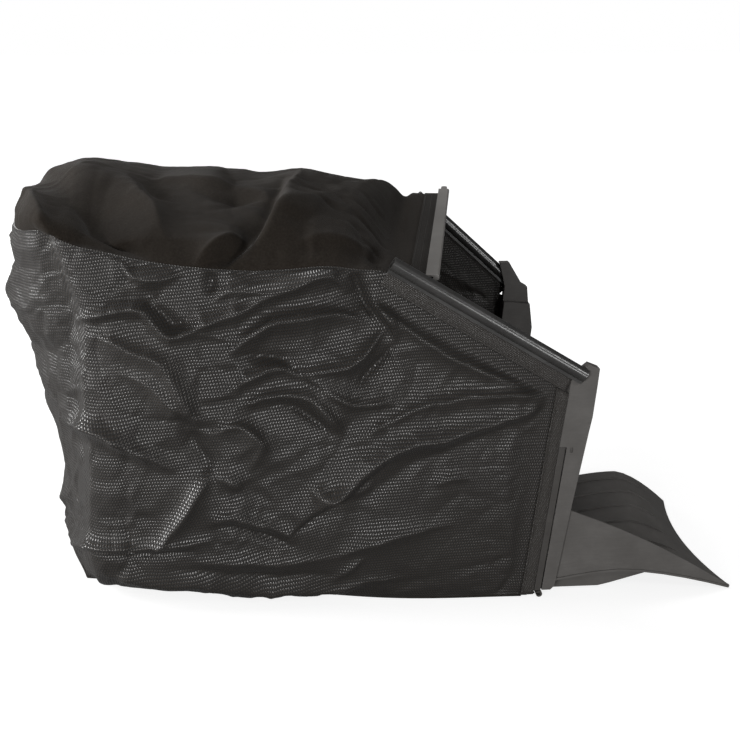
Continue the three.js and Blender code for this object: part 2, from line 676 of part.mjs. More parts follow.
function sideSurface(seam, crease, foot, line, y, outward, folds) {
  const split = 0.62;
  const top = sideTop(seam, line, y, split);
  const front = frontEdge(line, y, HEM_TUCK, RAIL_HEM_TUCK, BINDING / 2);
  const base = patch((u) => foot.getPoint(u), top, (v) => crease.getPoint(v), front);
  const aspect = Math.abs(frontFootX - foot.getPoint(0).x) / crease.getPoint(1).z;
  return (u, v) => {
    const point = base(u, v);
    const share = mix(0.2, 0.3, u);
    const low = foot.getPoint(u).y;
    const high = top(u).y;
    const straight = mix(low, high, v);
    const rounded = mix(high, low, turnUnder(v, share));
    const blend = smooth(Math.min(u, 1 - u) / 0.08);
    const swell = SIDE_SWELL * Math.sin(Math.PI * u) * Math.sin(Math.PI * v ** 0.7);
    const flatEdge = smooth((0.93 - v) / 0.12) * smooth((0.95 - u) / 0.1);
    point.y += (rounded - straight) * blend + outward * flatEdge * (swell + foldHeight(folds, u, v, aspect));
    const underRail = smooth((v - 0.85) / 0.06) * smooth((u - split + 0.08) / 0.08);
    const underHem = Math.max(underRail, smooth((u - 0.9) / 0.05));
    point.y = mix(point.y, y, underHem * smooth(v / 0.06));
    return point;
  };
}

const FOLD_MARGIN = 0.07; // share of a panel beside its seams where folds fade out
const NEAR_FOLDS = [
  [0.036, [1, 0.94, 3], [0.91, 0.77, 9], [0.74, 0.56, 12], [0.65, 0.48, 11], [0.56, 0.38, 12],
    [0.49, 0.32, 9], [0.42, 0.23, 2]],
  [0.028, [1, 0.95, 2], [0.86, 0.81, 7], [0.71, 0.65, 6], [0.59, 0.52, 3]],
  [0.03, [0.99, 0.95, 2], [0.83, 0.85, 6], [0.68, 0.84, 5], [0.63, 0.86, 2]],
  [0.02, [0.65, 0.46, -1], [0.56, 0.35, -7], [0.48, 0.3, -8], [0.42, 0.22, -3]],
  [0.023, [0.55, 1, -1], [0.56, 0.95, -12], [0.57, 0.89, -13], [0.59, 0.86, -4]],
  [0.02, [0.59, 0.95, 1], [0.6, 0.9, 9], [0.62, 0.84, 6], [0.63, 0.79, 1]],
  [0.028, [0.54, 0.93, 1], [0.51, 0.97, 8], [0.43, 0.93, 8], [0.36, 0.86, 7], [0.3, 0.81, 2]],
  [0.018, [0.63, 0.78, -1], [0.6, 0.73, -8], [0.57, 0.68, -8], [0.55, 0.64, -1]],
  [0.022, [0.61, 0.83, 1], [0.57, 0.75, 9], [0.52, 0.69, 9], [0.46, 0.68, 4], [0.44, 0.68, 1]],
  [0.03, [0.32, 0.72, 1], [0.36, 0.78, 7], [0.4, 0.83, 9], [0.46, 0.84, 9], [0.53, 0.84, 5],
    [0.56, 0.83, 1]],
  [0.022, [0.34, 0.72, -1], [0.39, 0.72, -8], [0.43, 0.7, -9], [0.47, 0.64, -8], [0.53, 0.6, -3]],
  [0.024, [0.32, 0.61, 1], [0.35, 0.66, 6], [0.4, 0.69, 8], [0.44, 0.68, 7], [0.49, 0.63, 8],
    [0.55, 0.59, 7], [0.61, 0.6, 4], [0.65, 0.61, 1]],
  [0.024, [0.35, 0.58, 1], [0.38, 0.6, 7], [0.43, 0.62, 6], [0.47, 0.6, 8], [0.51, 0.54, 9],
    [0.53, 0.5, 2]],
  [0.026, [0.3, 0.49, 1], [0.34, 0.51, 6], [0.38, 0.49, 7], [0.39, 0.46, 2]],
  [0.025, [0.02, 0.72, 2], [0.14, 0.79, 8], [0.21, 0.83, 9], [0.22, 0.8, 8], [0.24, 0.75, 8],
    [0.29, 0.81, 6], [0.35, 0.87, 3]],
  [0.024, [0.22, 0.86, -1], [0.23, 0.83, -9], [0.25, 0.79, -9], [0.27, 0.82, -2]],
  [0.022, [0.07, 0.78, -1], [0.17, 0.83, -7], [0.23, 0.87, -6], [0.26, 0.92, -1]],
  [0.037, [0.05, 0.69, 1], [0.15, 0.69, 7], [0.21, 0.67, 9], [0.25, 0.6, 7], [0.27, 0.51, 3]],
  [0.037, [0.25, 0.54, -2], [0.26, 0.46, -8], [0.28, 0.41, -8], [0.3, 0.38, -1]],
  [0.026, [0, 0.43, 2], [0.06, 0.44, 9], [0.14, 0.42, 9], [0.22, 0.39, 2]],
  [0.026, [0.29, 0.4, 3], [0.26, 0.35, 10], [0.23, 0.3, 9], [0.18, 0.19, 2]],
  [0.026, [0.28, 0.29, 1], [0.32, 0.31, 8], [0.38, 0.3, 8], [0.45, 0.26, 3]],
  [0.04, [0.36, 0.4, 1], [0.38, 0.45, 6], [0.4, 0.49, 2]],
  [0.018, [0, 0.16, 1], [0.05, 0.22, 8], [0.12, 0.22, 9], [0.21, 0.24, 5], [0.29, 0.25, 2]],
  [0.016, [0.01, 0.14, -2], [0.12, 0.19, -10], [0.2, 0.2, -7], [0.26, 0.22, -1]],
  [0.021, [0.05, 0.12, 2], [0.16, 0.1, 7], [0.29, 0.09, 8], [0.4, 0.05, 9], [0.56, 0.06, 5],
    [0.68, 0.09, 1]],
  [0.026, [0.53, 0.17, 1], [0.6, 0.21, 6], [0.69, 0.26, 5], [0.79, 0.3, 1]],
];
const FAR_FOLDS = [
  [0.038, [1, 0.85, 2], [0.81, 0.58, 9], [0.61, 0.37, 9], [0.48, 0.21, 2]],
  [0.033, [0.94, 0.89, 2], [0.68, 0.68, 7], [0.51, 0.7, 2]],
  [0.029, [0.58, 0.95, -1], [0.55, 0.76, -10], [0.58, 0.64, -1]],
  [0.033, [0.48, 0.83, 1], [0.39, 0.73, 8], [0.23, 0.71, 7], [0.08, 0.62, 1]],
  [0.038, [0.48, 0.62, 1], [0.36, 0.54, 8], [0.22, 0.43, 8], [0.06, 0.43, 1]],
  [0.038, [0.42, 0.4, 1], [0.29, 0.34, 8], [0.14, 0.36, 7], [0.03, 0.3, 1]],
  [0.033, [0.77, 0.37, 1], [0.62, 0.21, 7], [0.46, 0.16, 1]],
  [0.024, [0.42, 0.16, 1], [0.29, 0.11, 9], [0.1, 0.11, 2]],
  [0.038, [0.18, 0.84, 1], [0.12, 0.62, 7], [0.17, 0.49, 1]],
];
const TOP_FOLDS = [
  [0.058, [0.12, 0.53, 4], [0.19, 0.53, 12], [0.27, 0.46, 14], [0.35, 0.31, 13], [0.39, 0.13, 3]],
  [0.06, [0.18, 0.3, -8], [0.25, 0.2, -26], [0.29, 0.09, -22], [0.33, 0.03, -6]],
  [0.03, [0.05, 0.62, 3], [0.1, 0.17, 10], [0.1, 0.03, 3]],
  [0.022, [0.31, 0.47, -1], [0.36, 0.4, -9], [0.41, 0.35, -1]],
  [0.028, [0.35, 0.51, 1], [0.42, 0.52, 7], [0.5, 0.5, 8], [0.61, 0.48, 2]],
  [0.03, [0.6, 0.83, -1], [0.62, 0.45, -9], [0.6, 0.29, -12], [0.56, 0.14, -14], [0.53, 0.06, -11],
    [0.49, 0.01, -3]],
  [0.04, [0.65, 0.81, 1], [0.65, 0.45, 9], [0.64, 0.26, 12], [0.6, 0.13, 11], [0.54, 0.05, 7],
    [0.5, 0.01, 1]],
  [0.022, [0.45, 0.02, 1], [0.48, 0.07, 8], [0.52, 0.12, 8], [0.55, 0.13, 1]],
  [0.037, [0.78, 0.52, 1], [0.71, 0.33, 6], [0.61, 0.2, 5], [0.55, 0.1, 1]],
];
const REAR_FOLDS = [
  [0.048, [0.8, 0.92, 2], [0.68, 0.81, 10], [0.49, 0.72, 8], [0.32, 0.75, 2]],
  [0.052, [0.76, 0.64, 2], [0.55, 0.58, 9], [0.37, 0.47, 7], [0.18, 0.48, 2]],
  [0.043, [0.15, 0.83, 2], [0.27, 0.71, 9], [0.4, 0.61, 3]],
  [0.048, [0.74, 0.4, 1], [0.54, 0.41, 8], [0.34, 0.36, 7], [0.19, 0.3, 1]],
  [0.033, [0.81, 0.31, 1], [0.66, 0.23, 8], [0.41, 0.17, 6], [0.12, 0.19, 1]],
  [0.043, [0.57, 0.9, -1], [0.54, 0.72, -8], [0.59, 0.6, -1]],
  [0.043, [0.32, 0.39, -1], [0.2, 0.34, -8], [0.15, 0.24, -1]],
  [0.048, [0.14, 0.62, 1], [0.21, 0.44, 7], [0.14, 0.33, 1]],
];

// How the back bulges from its foot to its top: [v, share of REAR_BELLY]
const REAR_PROFILE = [
  [0, 0], [0.1, 0], [0.17, -0.15], [0.3, -0.15], [0.37, 0.05], [0.5, 0.36], [0.6, 0.3], [0.66, 0.76],
  [0.72, 1], [0.79, 0.68], [0.86, 0.37], [0.93, 0.3], [1, 0],
];
function profileAt(profile, v) {
  const k = Math.max(1, profile.findIndex(([at]) => at >= v));
  const [v0, a] = profile[k - 1];
  const [v1, b] = profile[k];
  return mix(a, b, THREE.MathUtils.clamp((v - v0) / (v1 - v0), 0, 1));
}

const PANEL_EDGE = BINDING / 2 + SEAM_GAP;

function sidePanel(near) {
  const seam = near ? nearSeam : farSeam;
  const crease = near ? nearCrease : farCrease;
  const foot = near ? nearFoot : farFoot;
  const line = near ? nearRail : farRail;
  const y = near ? 0 : FRAME_WIDTH;
  const folds = near ? NEAR_FOLDS : FAR_FOLDS;
  const surface = sideSurface(seam, crease, foot, line, y, near ? -1 : 1, folds);
  const width = Math.abs(frontFootX - REAR_NEAR_FOOT[0]);
  const margins = [PANEL_EDGE + 0.1, 0, PANEL_EDGE * 1.8, PANEL_EDGE + 1.3];
  const fitted = trimmed(surface, width, REAR_NEAR_TOP[2], margins);
  return near ? sheet(fitted, 50, 30, CLOTH) : sheet(mirrored(fitted), 28, 16, CLOTH);
}

function rearPanel() {
  const base = patch(
    (u) => rearFoot.getPoint(1 - u), (u) => rearSeam.getPoint(1 - u),
    (v) => farCrease.getPoint(v), (v) => nearCrease.getPoint(v),
  );
  const surface = (u, v) => {
    const point = base(u, v);
    const belly = REAR_BELLY * Math.sin(Math.PI * u) ** 0.62 * profileAt(REAR_PROFILE, v);
    point.x -= foldHeight(REAR_FOLDS, u, v, 1) * 0.75 + belly;
    return point;
  };
  const width = REAR_FAR_TOP[1] - REAR_NEAR_TOP[1];
  const edge = PANEL_EDGE + CLOTH;
  return sheet(trimmed(surface, width, REAR_NEAR_TOP[2], [edge, edge, PANEL_EDGE, edge]), 20, 22, CLOTH);
}

const stripNear = vec(STRIP_NEAR);
const stripFar = vec(STRIP_FAR);
const stripAlong = stripFar.clone().sub(stripNear).normalize();
const stripAcross = new THREE.Vector3().crossVectors(stripAlong, new THREE.Vector3(0, 0, 1)).normalize();
const stripEdge = (t, back) => {
  const point = stripNear.clone().lerp(stripFar, t);
  return point.addScaledVector(stripAcross, -(STRIP_WIDTH / 2 + back));
};

// Height at which the top panel passes under its hem, level with the strip
function underStrip(point) {
  const run = stripFar.clone().sub(stripNear);
  const dx = point.x - stripNear.x;
  const dy = point.y - stripNear.y;
  const t = (dx * run.x + dy * run.y) / (run.x * run.x + run.y * run.y);
  return mix(stripNear.z, stripFar.z, t) - TAPE / 2 - GAP;
}

// The near and far edges of the top panel, from the back to the strip
function topEdge(seam, stripEnd, split) {
  const rest = curveOf([seam.getPoint(1).toArray(), stripEnd.toArray()]);
  return (u) => (u < split ? seam.getPoint(u / split) : rest.getPoint((u - split) / (1 - split)));
}

const topLength = Math.abs(REAR_NEAR_TOP[0] - STRIP_NEAR[0]);
const topRearMargin = PANEL_EDGE + CLOTH + 2.4;
const topRearShare = topRearMargin / topLength;

const hump = (u, middle, reach) => Math.exp(-(((u - middle) / reach) ** 2));

function topSurface() {
  const hemLine = (t) => {
    const point = stripEdge(mix(0.03, 0.95, t), TOP_HEM_TUCK);
    return point.setZ(underStrip(point));
  };
  const near = topEdge(nearSeam, hemLine(0), 0.9);
  const far = topEdge(farSeam, hemLine(1), 0.94);
  const base = patch(near, far, (v) => rearSeam.getPoint(v), hemLine);
  return (u, v) => {
    const point = base(u, v);
    const climb = Math.min(1, Math.max(0, u - topRearShare) / ROLL_LENGTH);
    const roll = (1 - (1 - climb) ** 2) ** 0.75;
    const front = 1 - smooth((u - mix(0.76, 0.86, v)) / 0.12);
    const across = 1 - Math.abs(2 * v - 1) ** mix(2.6, 8, smooth((u - 0.82) / 0.12));
    const level = 1 - 0.1 * hump(u, 0.12, 0.05) - 0.14 * hump(u, 0.35, 0.09) + 0.2 * hump(u, 0.66, 0.08);
    const aspect = topLength / FRAME_WIDTH;
    point.z += TOP_CROWN * roll * front * across * level + foldHeight(TOP_FOLDS, u, v, aspect);
    const overhang = Math.sin(Math.PI * Math.min(1, Math.max(0, u - topRearShare) / 0.16)) ** 2;
    point.x -= ROLL_OVERHANG * across * overhang;
    point.z = mix(point.z, underStrip(point), smooth((u - 0.9) / 0.045));
    return point;
  };
}

function topPanel() {
  const edge = PANEL_EDGE + CLOTH;
  const fitted = trimmed(topSurface(), topLength, FRAME_WIDTH, [topRearMargin, 0, edge + 0.6, edge]);
  return sheet(fitted, 38, 22, CLOTH);
}

function bottomPanel() {
  const hemX = frontFootX - BOTTOM_HEM_WIDTH;
  const lift = CLOTH - BINDING / 2;
  const cut = (curve) => (u) => {
    const point = curve.getPoint(u * 0.96);
    return point.setZ(point.z + lift);
  };
  const near = cut(nearFoot);
  const far = cut(farFoot);
  const rear = (v) => {
    const point = rearFoot.getPoint(v);
    return point.setZ(point.z + lift);
  };
  const frontX = mix(near(1).x, hemX, 0.5);
  const front = (v) => new THREE.Vector3(frontX, mix(near(1).y, far(1).y, v), CLOTH);
  const surface = (u, v) => patch(near, far, rear, front)(u, v);
  const width = FRAME_WIDTH;
  const edge = PANEL_EDGE + CLOTH;
  return sheet(trimmed(surface, width, width * 0.7, [edge + CLOTH * 3, 0, edge, edge]), 10, 8, CLOTH);
}

// Hems: bound bands along every edge that a channel holds
function frontHem(line, y, outward) {
  const skin = y + outward * (TAPE + GAP);
  const footGap = BINDING + GAP;
  const outer = frontEdge(line, skin, 0, RAIL_HEM_WIDTH + GAP, footGap);
  const inner = frontEdge(line, skin, HEM_WIDTH, RAIL_HEM_WIDTH + GAP, footGap);
  const surface = (u, v) => inner(v).lerp(outer(v), u);
  return sheet(outward < 0 ? surface : mirrored(surface), 1, 12, TAPE);
}

function railHem(line, outward) {
  const skin = line.y + outward * (TAPE + GAP);
  const surface = (u, v) => {
    const travel = mix(line.length - GAP, RAIL_HEM_START, u);
    const rise = mix(jawFoot - RAIL_HEM_WIDTH, jawFoot + RAIL_JAW_LENGTH * 0.6, v);
    return line.at(travel, rise).setY(skin);
  };
  return sheet(outward < 0 ? surface : mirrored(surface), 12, 2, TAPE);
}

function topHem() {
  const surface = (u, v) => {
    const point = stripEdge(mix(0.02, 0.96, v), mix(TOP_HEM_WIDTH, -STRIP_SLOT_DEPTH * 0.7, u));
    return point.setZ(point.z + TAPE / 2);
  };
  return sheet(surface, 2, 16, TAPE);
}

function bottomHem() {
  const near = nearFoot.getPoint(0.985);
  const far = farFoot.getPoint(0.985);
  const rearX = mix(nearFoot.getPoint(0.96).x, frontFootX - BOTTOM_HEM_WIDTH, 0.5) + GAP;
  const frontX = sillRear + 3 - GAP;
  const nearY = near.y + PANEL_EDGE;
  const farY = far.y - PANEL_EDGE;
  const surface = (u, v) => new THREE.Vector3(mix(rearX, frontX, u), mix(nearY, farY, v), CLOTH);
  return sheet(surface, 2, 8, CLOTH);
}

// The strip: a flat channel with a rounded tongue at its far end
function topStrip() {
  const half = STRIP_WIDTH / 2;
  const slot = STRIP_SLOT / 2;
  const thick = STRIP_THICKNESS / 2;
  const section = [
    [-half, -thick], [half - 1.5, -thick], [half, -thick + 1.5],
    [half, thick - 1.5], [half - 1.5, thick], [-half, thick],
    [-half, slot], [-half + STRIP_SLOT_DEPTH, slot],
    [-half + STRIP_SLOT_DEPTH, -slot], [-half, -slot],
  ];
  const upright = new THREE.Vector3(0, 0, 1);
  const body = toSolid(bar(section.map(([a, b]) => [-a, b]), stripNear, stripFar, upright));
  const tongue = [];
  const w = STRIP_TONGUE_WIDTH / 2;
  const steps = 6;
  tongue.push([-w, -5], [w, -5]);
  for (let k = 0; k <= steps; k += 1) {
    const angle = (Math.PI * k) / steps;
    tongue.push([w * Math.cos(angle), STRIP_TONGUE - w + w * Math.sin(angle)]);
  }
  const shape = new THREE.Shape(tongue.map(([a, b]) => new THREE.Vector2(a, b)));
  const flat = new THREE.ExtrudeGeometry(shape, { depth: STRIP_THICKNESS, bevelEnabled: false });
  const up = new THREE.Vector3().crossVectors(stripAcross, stripAlong);
  flat.applyMatrix4(new THREE.Matrix4().makeBasis(stripAcross, stripAlong, up));
  const base = stripFar.clone().addScaledVector(up, -thick);
  flat.translate(base.x, base.y, base.z);
  return toGeometry(body.add(toSolid(flat)));
}

// Bound seams
function along(curve, from, to, count) {
  return Array.from({ length: count + 1 }, (_, k) => curve.getPoint(mix(from, to, k / count)).toArray());
}

function topBinding() {
  const near = along(nearSeam, 0.006, 0.985, 12).reverse();
  const back = along(rearSeam, 0.008, 0.992, 10);
  const far = along(farSeam, 0.006, 0.985, 12);
  return rod(curveOf([...near, ...back, ...far]), BINDING, 60, 6);
}

function bottomBinding() {
  const near = along(nearFoot, 0.006, 0.985, 8).reverse();
  const back = along(rearFoot, 0.012, 0.988, 8);
  const far = along(farFoot, 0.006, 0.985, 8);
  return rod(curveOf([...near, ...back, ...far]), BINDING, 44, 6);
}

function creaseBinding(crease) {
  return rod(curveOf(along(crease, 0.02, 0.98, 8)), BINDING, 20, 6);
}

const bag = new THREE.Group();
bag.add(
  node('front_frame', frontFrame(), MOULDED),
  node('chute_scoop', scoop(), MOULDED),
  node('near_rail', rail(nearRail), RAIL_PLASTIC),
  node('far_rail', rail(farRail), RAIL_PLASTIC),
  node('top_strip', topStrip(), RAIL_PLASTIC),
  node('near_arm_clip', armClip(0, 1), RAIL_PLASTIC),
  node('far_arm_clip', armClip(FRAME_WIDTH, -1), RAIL_PLASTIC),
  node('sill_clip', sillClip(), RAIL_PLASTIC),
  node('near_side_panel', sidePanel(true), MESH_CLOTH),
  node('far_side_panel', sidePanel(false), MESH_CLOTH),
  node('rear_panel', rearPanel(), MESH_CLOTH),
  node('top_panel', topPanel(), WOVEN_CLOTH),
  node('bottom_panel', bottomPanel(), WOVEN_CLOTH),
  node('near_front_hem', frontHem(nearRail, 0, -1), BINDING_TAPE),
  node('far_front_hem', frontHem(farRail, FRAME_WIDTH, 1), BINDING_TAPE),
  node('near_rail_hem', railHem(nearRail, -1), BINDING_TAPE),
  node('far_rail_hem', railHem(farRail, 1), BINDING_TAPE),
  node('top_front_hem', topHem(), BINDING_TAPE),
  node('bottom_front_hem', bottomHem(), BINDING_TAPE),
  node('top_seam_binding', topBinding(), BINDING_TAPE),
  node('bottom_seam_binding', bottomBinding(), BINDING_TAPE),
  node('near_rear_binding', creaseBinding(nearCrease), BINDING_TAPE),
  node('far_rear_binding', creaseBinding(farCrease), BINDING_TAPE),
);

// The origin lies on the ground, midway along the bag's length and width
const extent = new THREE.Box3().setFromObject(bag);
const middle = extent.getCenter(new THREE.Vector3());
bag.position.set(-middle.x, -middle.y, -extent.min.z);

export default bag;
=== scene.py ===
"""The looks of the mower grass collection bag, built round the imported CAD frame.

Lengths are millimetres in the bag's layout frame: X 0 is the near arm's datum, Y 0 the near arm's
outer face and Z 0 the ground. place() turns them into the row frame, in metres.
"""

import math

import bpy
import numpy as np
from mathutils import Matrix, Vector


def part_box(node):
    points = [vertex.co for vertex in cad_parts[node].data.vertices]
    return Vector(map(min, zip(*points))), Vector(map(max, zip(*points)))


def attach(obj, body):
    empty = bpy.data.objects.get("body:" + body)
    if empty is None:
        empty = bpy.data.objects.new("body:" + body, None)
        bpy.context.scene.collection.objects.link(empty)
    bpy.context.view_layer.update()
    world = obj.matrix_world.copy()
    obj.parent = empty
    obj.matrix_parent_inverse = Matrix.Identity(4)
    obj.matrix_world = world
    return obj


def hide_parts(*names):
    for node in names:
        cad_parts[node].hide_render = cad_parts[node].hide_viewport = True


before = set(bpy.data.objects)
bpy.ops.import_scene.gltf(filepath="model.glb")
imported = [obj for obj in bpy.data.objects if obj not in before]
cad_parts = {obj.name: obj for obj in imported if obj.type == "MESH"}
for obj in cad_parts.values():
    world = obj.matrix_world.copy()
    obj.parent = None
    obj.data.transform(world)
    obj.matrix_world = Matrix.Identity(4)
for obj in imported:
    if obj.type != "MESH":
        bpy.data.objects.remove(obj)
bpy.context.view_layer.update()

BODY = "root"
SCOOP_REACH = 202.0
SHIFT = np.array([
    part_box("chute_scoop")[1].x * 1000 - SCOOP_REACH,
    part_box("front_frame")[0].y * 1000,
    0.0,
])

# Sizes shared with the CAD model
GAP = 0.35
FRAME_WIDTH = 405.0
CLIP_TOP = 182.0
ARM_FOOT_X = -9.0
ARM_LEAN = 0.155
ARM_FOOT_WIDTH = 23.0
ARM_KNEE_WIDTH = 30.0
KNEE_HEIGHT = 209.0
TAB_HEIGHT = 273.0
KNEE_STEP = 3.0
UPPER_ARM_LEAN = 0.08
TAB_FRONT_X = (
    ARM_FOOT_X + ARM_LEAN * KNEE_HEIGHT + KNEE_STEP + UPPER_ARM_LEAN * (TAB_HEIGHT - KNEE_HEIGHT)
)
ARM_FRONT_WALL = 4
SILL_DEPTH = 20
SILL_WALL = 3
FOOT_Z = 7.75
RAIL_RADIUS = 6.3
RAIL_JAW_LENGTH = 5.2
JAW_FOOT = -(RAIL_RADIUS + RAIL_JAW_LENGTH)
RAIL_TIP_SETBACK = 18.0
HEM_WIDTH = 15.0
HEM_TUCK = 4.0
RAIL_HEM_TUCK = 5.0
RAIL_HEM_START = 8.0
RAIL_HEM_WIDTH = 16.0
TAPE = 1.0
CLOTH = 0.9
SEAM_Z = 1.6
STRIP_NEAR = np.array([-152.0, 17.0, 374.0])
STRIP_FAR = np.array([-87.0, 404.0, 407.0])
STRIP_WIDTH = 14.5
TOP_HEM_WIDTH = 18.0
TOP_HEM_TUCK = 5.0
STRIP_SLOT_DEPTH = 8.0
BOTTOM_HEM_WIDTH = 18.0

REAR_NEAR_TOP = (-553.0, 25.0, 428.0)
REAR_FAR_TOP = (-572.0, 382.0, 440.0)
REAR_NEAR_FOOT = (-550.0, 86.0)
REAR_FAR_FOOT = (-556.0, 330.0)

REAR_BULGE = (
    (0.0, 0.05, 0.1, 0.17, 0.25, 0.3, 0.37, 0.43, 0.5, 0.6, 0.66, 0.72, 0.79, 0.86, 0.93, 1.0),
    (-3, 1, 0, -9, -5, -8, 2, 11, 18, 11, 36, 46, 31, 17, 15, 0),
)
REAR_SWELL_FOOT = 32
CREASE_TUCK = 22
SIDE_SWELL = 7
TOP_CROWN = 47.0
ROLL_LENGTH = 0.25
ROLL_OVERHANG = 8

# Sizes of the looks alone
SLEEVE_RADIUS = 7.7
SLEEVE_RISE = -1.4
SLEEVE_WALL = 1.8
SLEEVE_LIP_OUT = 3.4
SLEEVE_LIP_IN = 1.9
HEM_FOOT_Z = 3.55
BOTTOM_Z = 1.4
BOTTOM_HEM_Z = 1.9
HEM_ROLL = 0.9
STITCH_LIFT = 0.15

# How much the drawn folds are raised, and crumples as (seed, facet size, height)
NEAR_FOLD_GAIN, TOP_FOLD_GAIN, REAR_FOLD_GAIN = 1.7, 1.7, 0.95
WRAP_CRUMPLES = ((31, 52, 4.5), (41, 24, 1.3))

# The camera that took the photograph
FOCAL = 1200.0
PICTURE = 740.0
CAMERA_AT = np.array([-316.237, -1226.547, 657.918])
CAMERA_DOWN = math.radians(17.1739)
CAMERA_TURN = math.radians(4.4790)


def axes_of_view():
    forward = np.array([
        math.sin(CAMERA_TURN) * math.cos(CAMERA_DOWN),
        math.cos(CAMERA_TURN) * math.cos(CAMERA_DOWN),
        -math.sin(CAMERA_DOWN),
    ])
    right = np.cross(forward, [0.0, 0.0, 1.0])
    right /= np.linalg.norm(right)
    return forward, right, np.cross(right, forward)


FORWARD, RIGHT, UPWARD = axes_of_view()


def seen_at(points):
    """Where points fall in the picture, in its pixels."""
    offset = points - CAMERA_AT
    depth = offset @ FORWARD
    across = PICTURE / 2 + FOCAL * (offset @ RIGHT) / depth
    down = PICTURE / 2 - FOCAL * (offset @ UPWARD) / depth
    return across, down


def place(points):
    return (np.asarray(points, float) + SHIFT) / 1000.0


# Plain mathematics
def mix(a, b, t):
    return a + (b - a) * t


def smooth(t):
    t = np.clip(t, 0.0, 1.0)
    return t * t * (3 - 2 * t)


def noise(x, y, seed):
    """Gradient noise, about -0.7 to 0.7, with one feature for each unit."""
    turns = np.random.RandomState(seed).uniform(0, 2 * math.pi, (64, 64))
    x0, y0 = np.floor(x).astype(int), np.floor(y).astype(int)
    fx, fy = x - x0, y - y0

    def corner(i, j):
        angle = turns[(x0 + i) % 64, (y0 + j) % 64]
        return np.cos(angle) * (fx - i) + np.sin(angle) * (fy - j)

    ease = lambda t: t * t * t * (t * (6 * t - 15) + 10)
    low = mix(corner(0, 0), corner(1, 0), ease(fx))
    high = mix(corner(0, 1), corner(1, 1), ease(fx))
    return mix(low, high, ease(fy))


def noise_on(points, a, b, size, seed):
    """Noise over two of the points' axes, with features of the given size in mm."""
    return noise(points[..., a] / size, points[..., b] / size, seed)


def spline(points, t):
    """Points at t from 0 to 1 along a smooth curve through the given ones."""
    points = np.asarray(points, float)
    t = np.clip(np.asarray(t, float), 0.0, 1.0)
    ends = [2 * points[0] - points[1], 2 * points[-1] - points[-2]]
    whole = np.vstack([ends[0], points, ends[1]])
    travel = t * (len(points) - 1)
    k = np.minimum(np.floor(travel).astype(int), len(points) - 2)
    w = (travel - k)[..., None]
    p0, p1, p2, p3 = whole[k], whole[k + 1], whole[k + 2], whole[k + 3]
    root = lambda a, b: np.maximum(np.sqrt(np.linalg.norm(b - a, axis=-1)), 1e-3)[..., None]
    d0, d1, d2 = root(p0, p1), root(p1, p2), root(p2, p3)
    m1 = ((p1 - p0) / d0 - (p2 - p0) / (d0 + d1) + (p2 - p1) / d1) * d1
    m2 = ((p2 - p1) / d1 - (p3 - p1) / (d1 + d2) + (p3 - p2) / d2) * d1
    c2 = -3 * p1 + 3 * p2 - 2 * m1 - m2
    c3 = 2 * p1 - 2 * p2 + m1 + m2
    return p1 + m1 * w + c2 * w ** 2 + c3 * w ** 3


def patch(bottom, top, left, right, u, v):
    """A surface between four edge curves, each a function of one parameter."""
    u1, v1 = u[..., None], v[..., None]
    whole = bottom(u) * (1 - v1) + top(u) * v1 + left(v) * (1 - u1) + right(v) * u1
    a, b = left(np.array(0.0)), right(np.array(0.0))
    c, d = left(np.array(1.0)), right(np.array(1.0))
    return whole - a * (1 - u1) * (1 - v1) - b * u1 * (1 - v1) - c * (1 - u1) * v1 - d * u1 * v1


def grid(columns, rows):
    return np.meshgrid(np.linspace(0, 1, columns + 1), np.linspace(0, 1, rows + 1), indexing="ij")


def normals(points, outward):
    """Unit normals of a grid of points, turned to face the outward direction."""
    a = np.gradient(points, axis=0)
    b = np.gradient(points, axis=1)
    n = np.cross(a, b)
    n /= np.maximum(np.linalg.norm(n, axis=-1, keepdims=True), 1e-9)
    if (n.mean(axis=(0, 1)) @ np.asarray(outward, float)) < 0:
        n = -n
    return n


def relax(points, rounds, share=0.5):
    """Evens out a grid of points, with its edges held."""
    for _ in range(rounds):
        inner = points[1:-1, 1:-1]
        near = points[:-2, 1:-1] + points[2:, 1:-1] + points[1:-1, :-2] + points[1:-1, 2:]
        points[1:-1, 1:-1] = mix(inner, near / 4, share)
    return points


def fold_height(x, y, folds):
    """Height of drawn folds. Each is its points (x, y, height) and its reach to its right and left."""
    total = np.zeros_like(x)
    for points, right_reach, left_reach in folds:
        nearest = np.full_like(x, 1e9)
        height = np.zeros_like(x)
        points = spline(points, np.linspace(0, 1, 3 * len(points) - 2))
        tallest = max(abs(h) for _, _, h in points)
        for (x0, y0, h0), (x1, y1, h1) in zip(points, points[1:]):
            dx, dy = x1 - x0, y1 - y0
            t = np.clip(((x - x0) * dx + (y - y0) * dy) / (dx * dx + dy * dy), 0, 1)
            ex, ey = x - x0 - t * dx, y - y0 - t * dy
            away = np.hypot(ex, ey)
            side = dx * ey - dy * ex
            reach = mix(left_reach, right_reach, smooth(side / (40 + abs(side)) + 0.5))
            crest = mix(h0, h1, t)
            reach = reach * (0.3 + 0.7 * np.abs(crest) / tallest)
            share = np.exp(-1.25 * (np.sqrt((away / reach) ** 2 + 0.02) - 0.141))
            closer = away < nearest
            height = np.where(closer, crest * share, height)
            nearest = np.minimum(nearest, away)
        total += np.where(height < 0, 0.7, 1.0) * height
    return total


# Mesh making
def add_object(name, data):
    made = bpy.data.objects.new(name, data)
    bpy.context.scene.collection.objects.link(made)
    return made


